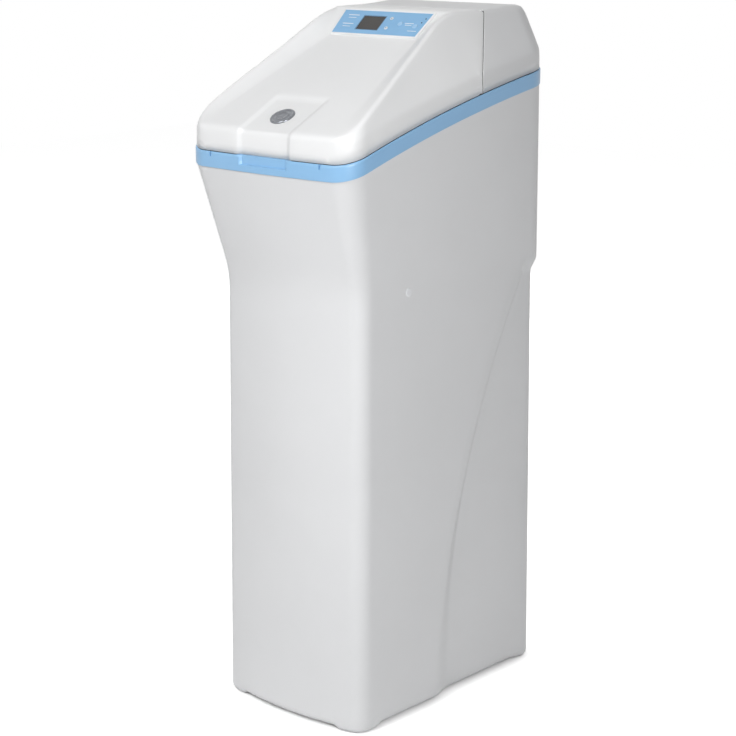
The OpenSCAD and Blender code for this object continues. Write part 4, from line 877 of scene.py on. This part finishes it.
def makePanelPrint():
    bm = bmesh.new()
    z = panelShape["face"] + printShape["lift"]
    for x, y, wide, high in printShape["bars"]:
        bar = bmesh.ops.create_grid(bm, x_segments=1, y_segments=1, size=0.5)["verts"]
        bmesh.ops.scale(bm, vec=(wide * mm, high * mm, 1), verts=bar)
        bmesh.ops.translate(bm, vec=(x * mm, y * mm, z * mm), verts=bar)
    raiseFaces(bm, printShape["thick"])
    keepPiece(onPanel(bm), "panelPrint", "paleLine", "hood", 30)


# thin bezel round the display
bezelShape = {"x": -20.0, "y": 25.0, "halfWide": 22.5, "halfHigh": 15.5,
              "section": [(0.0, 0.0), (0.15, 0.25), (0.9, 0.25), (1.1, 0.02)]}


def makeBezel():
    bm = bmesh.new()
    loops = []
    for o, up in bezelShape["section"]:
        wide, high = bezelShape["halfWide"] + o, bezelShape["halfHigh"] + o
        corners = [(-wide, -high), (wide, -high), (wide, high), (-wide, high)]
        z = (panelShape["face"] + up) * mm
        loops.append([bm.verts.new(((bezelShape["x"] + x) * mm, (bezelShape["y"] + y) * mm, z))
                      for x, y in corners])
    joinLoops(bm, loops)
    keepPiece(onPanel(bm), "displayBezel", "keyMark", "hood", 30)


# arrow marks on the two small keys
arrowShape = {"radius": 1.5, "lift": 0.95, "thick": 0.15}


def makeArrow(name, body, x, y, turn):
    z = panelShape["face"] + arrowShape["lift"]
    bm = bmesh.new()
    bmesh.ops.create_circle(bm, cap_ends=True, segments=3, radius=arrowShape["radius"] * mm)
    bmesh.ops.rotate(bm, cent=(0, 0, 0), matrix=Matrix.Rotation(turn, 3, "Z"), verts=bm.verts)
    bmesh.ops.translate(bm, vec=(x * mm, y * mm, z * mm), verts=bm.verts)
    raiseFaces(bm, arrowShape["thick"])
    keepPiece(onPanel(bm), name, "keyMark", body, 30)


# plain badge: a domed disc with a raised rim and a turned centre
badgeShape = {"y": -207.0, "lift": 0.2, "turns": 64, "profile": [
    (0.0, 1.9), (4.0, 1.85), (8.0, 1.7), (8.6, 2.05), (9.6, 2.05), (10.2, 1.65), (14.5, 1.35), (15.4, 1.5),
    (16.2, 2.2), (17.4, 2.55), (18.8, 2.4), (19.7, 1.7), (20.0, 0.8), (20.0, 0.0), (0.0, 0.0)]}


def makeBadge():
    bm = bmesh.new()
    verts = [bm.verts.new((r * mm, 0, z * mm)) for r, z in badgeShape["profile"]]
    edges = [bm.edges.new(pair) for pair in zip(verts, verts[1:])]
    bmesh.ops.spin(bm, geom=verts + edges, cent=(0, 0, 0), axis=(0, 0, 1), angle=math.tau,
                   steps=badgeShape["turns"], use_merge=True)
    bmesh.ops.remove_doubles(bm, verts=bm.verts, dist=0.01 * mm)
    seat = Vector((0, badgeShape["y"], faceZ(badgeShape["y"]) - hoodShape["channelDeep"])) * mm
    place = Matrix.Translation(seat) @ Matrix.Rotation(faceTilt, 4, "X")
    place = place @ Matrix.Translation((0, 0, badgeShape["lift"] * mm))
    bmesh.ops.transform(bm, matrix=place, verts=bm.verts)
    keepPiece(bm, "badgeDisc", "badge", "hood", 35, ["badge"], 0.005)


makePanelFrame()
makePanelPrint()
makeBezel()
makeArrow("upMark", "up_key", 16, 37, 0.0)
makeArrow("downMark", "down_key", 18, 15, math.pi)
makeBadge()
print("panel and badge made")


# studio: pale floor, white surround, soft lamps
# the floor's glow under the object and its reach set the painted contact shadow
studio = {"floor": 6.0, "fill": 0.11, "floorGlow": 0.88, "floorTint": 0.85,
          "contactShadowGlow": 0.0, "contactShadowReach": 0.035}
lamps = {
    "keyLamp": {"at": (-0.4, -2.9, 3.4), "aim": (0.0, 0.0, 0.6), "size": 1.6, "power": 80.0,
                "spread": 180.0, "gloss": True},
    "sideLamp": {"at": (2.0, -1.7, 1.5), "aim": (0.17, -0.5, 0.8), "size": 1.2, "power": 12.2,
                 "spread": 90.0, "gloss": True},
    "backLamp": {"at": (-1.6, 3.0, 1.05), "aim": (0.0, 0.0, 0.6), "size": 1.6, "power": 44.0,
                 "spread": 180.0, "gloss": False},
}
cameraShape = {"at": (1.8821, -2.2057, 1.2853), "aim": (-0.0137, 0.0061, 0.5373),
               "lens": 88.96, "sensor": 36.0}


# 1 for rays that show the surround itself, 0 for rays that only bring its light
def shownRays(tree):
    rays = addNode(tree, "ShaderNodeLightPath").outputs
    clear = doMath(tree, "MAXIMUM", rays["Is Glossy Ray"], rays["Is Transmission Ray"])
    return doMath(tree, "MAXIMUM", rays["Is Camera Ray"], clear)


# the floor glows white, but not where the object stands close: there the glow fades to dark, a painted
# contact shadow
def makeFloor():
    bm = bmesh.new()
    bmesh.ops.create_grid(bm, x_segments=1, y_segments=1, size=studio["floor"])
    mesh = bpy.data.meshes.new("floor")
    bm.to_mesh(mesh)
    bm.free()
    material = bpy.data.materials.new("paleFloor")
    material.use_nodes = True
    tree = material.node_tree
    tree.nodes.clear()
    matte = addNode(tree, "ShaderNodeBsdfDiffuse")
    matte.inputs["Color"].default_value = (studio["floorTint"],) * 3 + (1,)
    contactShadow = addNode(tree, "ShaderNodeAmbientOcclusion", samples=8)
    contactShadow.inputs["Distance"].default_value = studio["contactShadowReach"]
    lift = mapValue(tree, contactShadow.outputs["AO"], 0.0, 1.0, studio["contactShadowGlow"], studio["floorGlow"])
    glow = addNode(tree, "ShaderNodeEmission")
    tree.links.new(doMath(tree, "MULTIPLY", shownRays(tree), lift), glow.inputs["Strength"])
    both = addNode(tree, "ShaderNodeAddShader")
    tree.links.new(matte.outputs[0], both.inputs[0])
    tree.links.new(glow.outputs[0], both.inputs[1])
    tree.links.new(both.outputs[0], addNode(tree, "ShaderNodeOutputMaterial").inputs[0])
    mesh.materials.append(material)
    floor = bpy.data.objects.new("floor", mesh)
    bpy.context.scene.collection.objects.link(floor)


def makeWorld():
    world = bpy.data.worlds.new("studio")
    bpy.context.scene.world = world
    world.use_nodes = True
    tree = world.node_tree
    tree.nodes.clear()
    sky = addNode(tree, "ShaderNodeBackground")
    sky.inputs["Color"].default_value = (1, 1, 1, 1)
    tree.links.new(mapValue(tree, shownRays(tree), 0.0, 1.0, studio["fill"], 1.0), sky.inputs["Strength"])
    tree.links.new(sky.outputs[0], addNode(tree, "ShaderNodeOutputWorld").inputs[0])


def hang(name, data, at, aim):
    obj = bpy.data.objects.new(name, data)
    obj.location = at
    obj.rotation_euler = (Vector(aim) - obj.location).to_track_quat("-Z", "Y").to_euler()
    bpy.context.scene.collection.objects.link(obj)
    return obj


def makeLamps():
    for name, lamp in lamps.items():
        data = bpy.data.lights.new(name, "AREA")
        data.energy = lamp["power"]
        data.shape = "DISK"
        data.size = lamp["size"]
        data.spread = math.radians(lamp["spread"])
        hang(name, data, lamp["at"], lamp["aim"]).visible_glossy = lamp["gloss"]


def makeCamera():
    data = bpy.data.cameras.new("camera")
    data.lens = cameraShape["lens"]
    data.sensor_width = cameraShape["sensor"]
    bpy.context.scene.camera = hang("camera", data, cameraShape["at"], cameraShape["aim"])


makeFloor()
makeWorld()
makeLamps()
makeCamera()
bpy.context.scene.view_settings.view_transform = "Standard"
print("studio made")
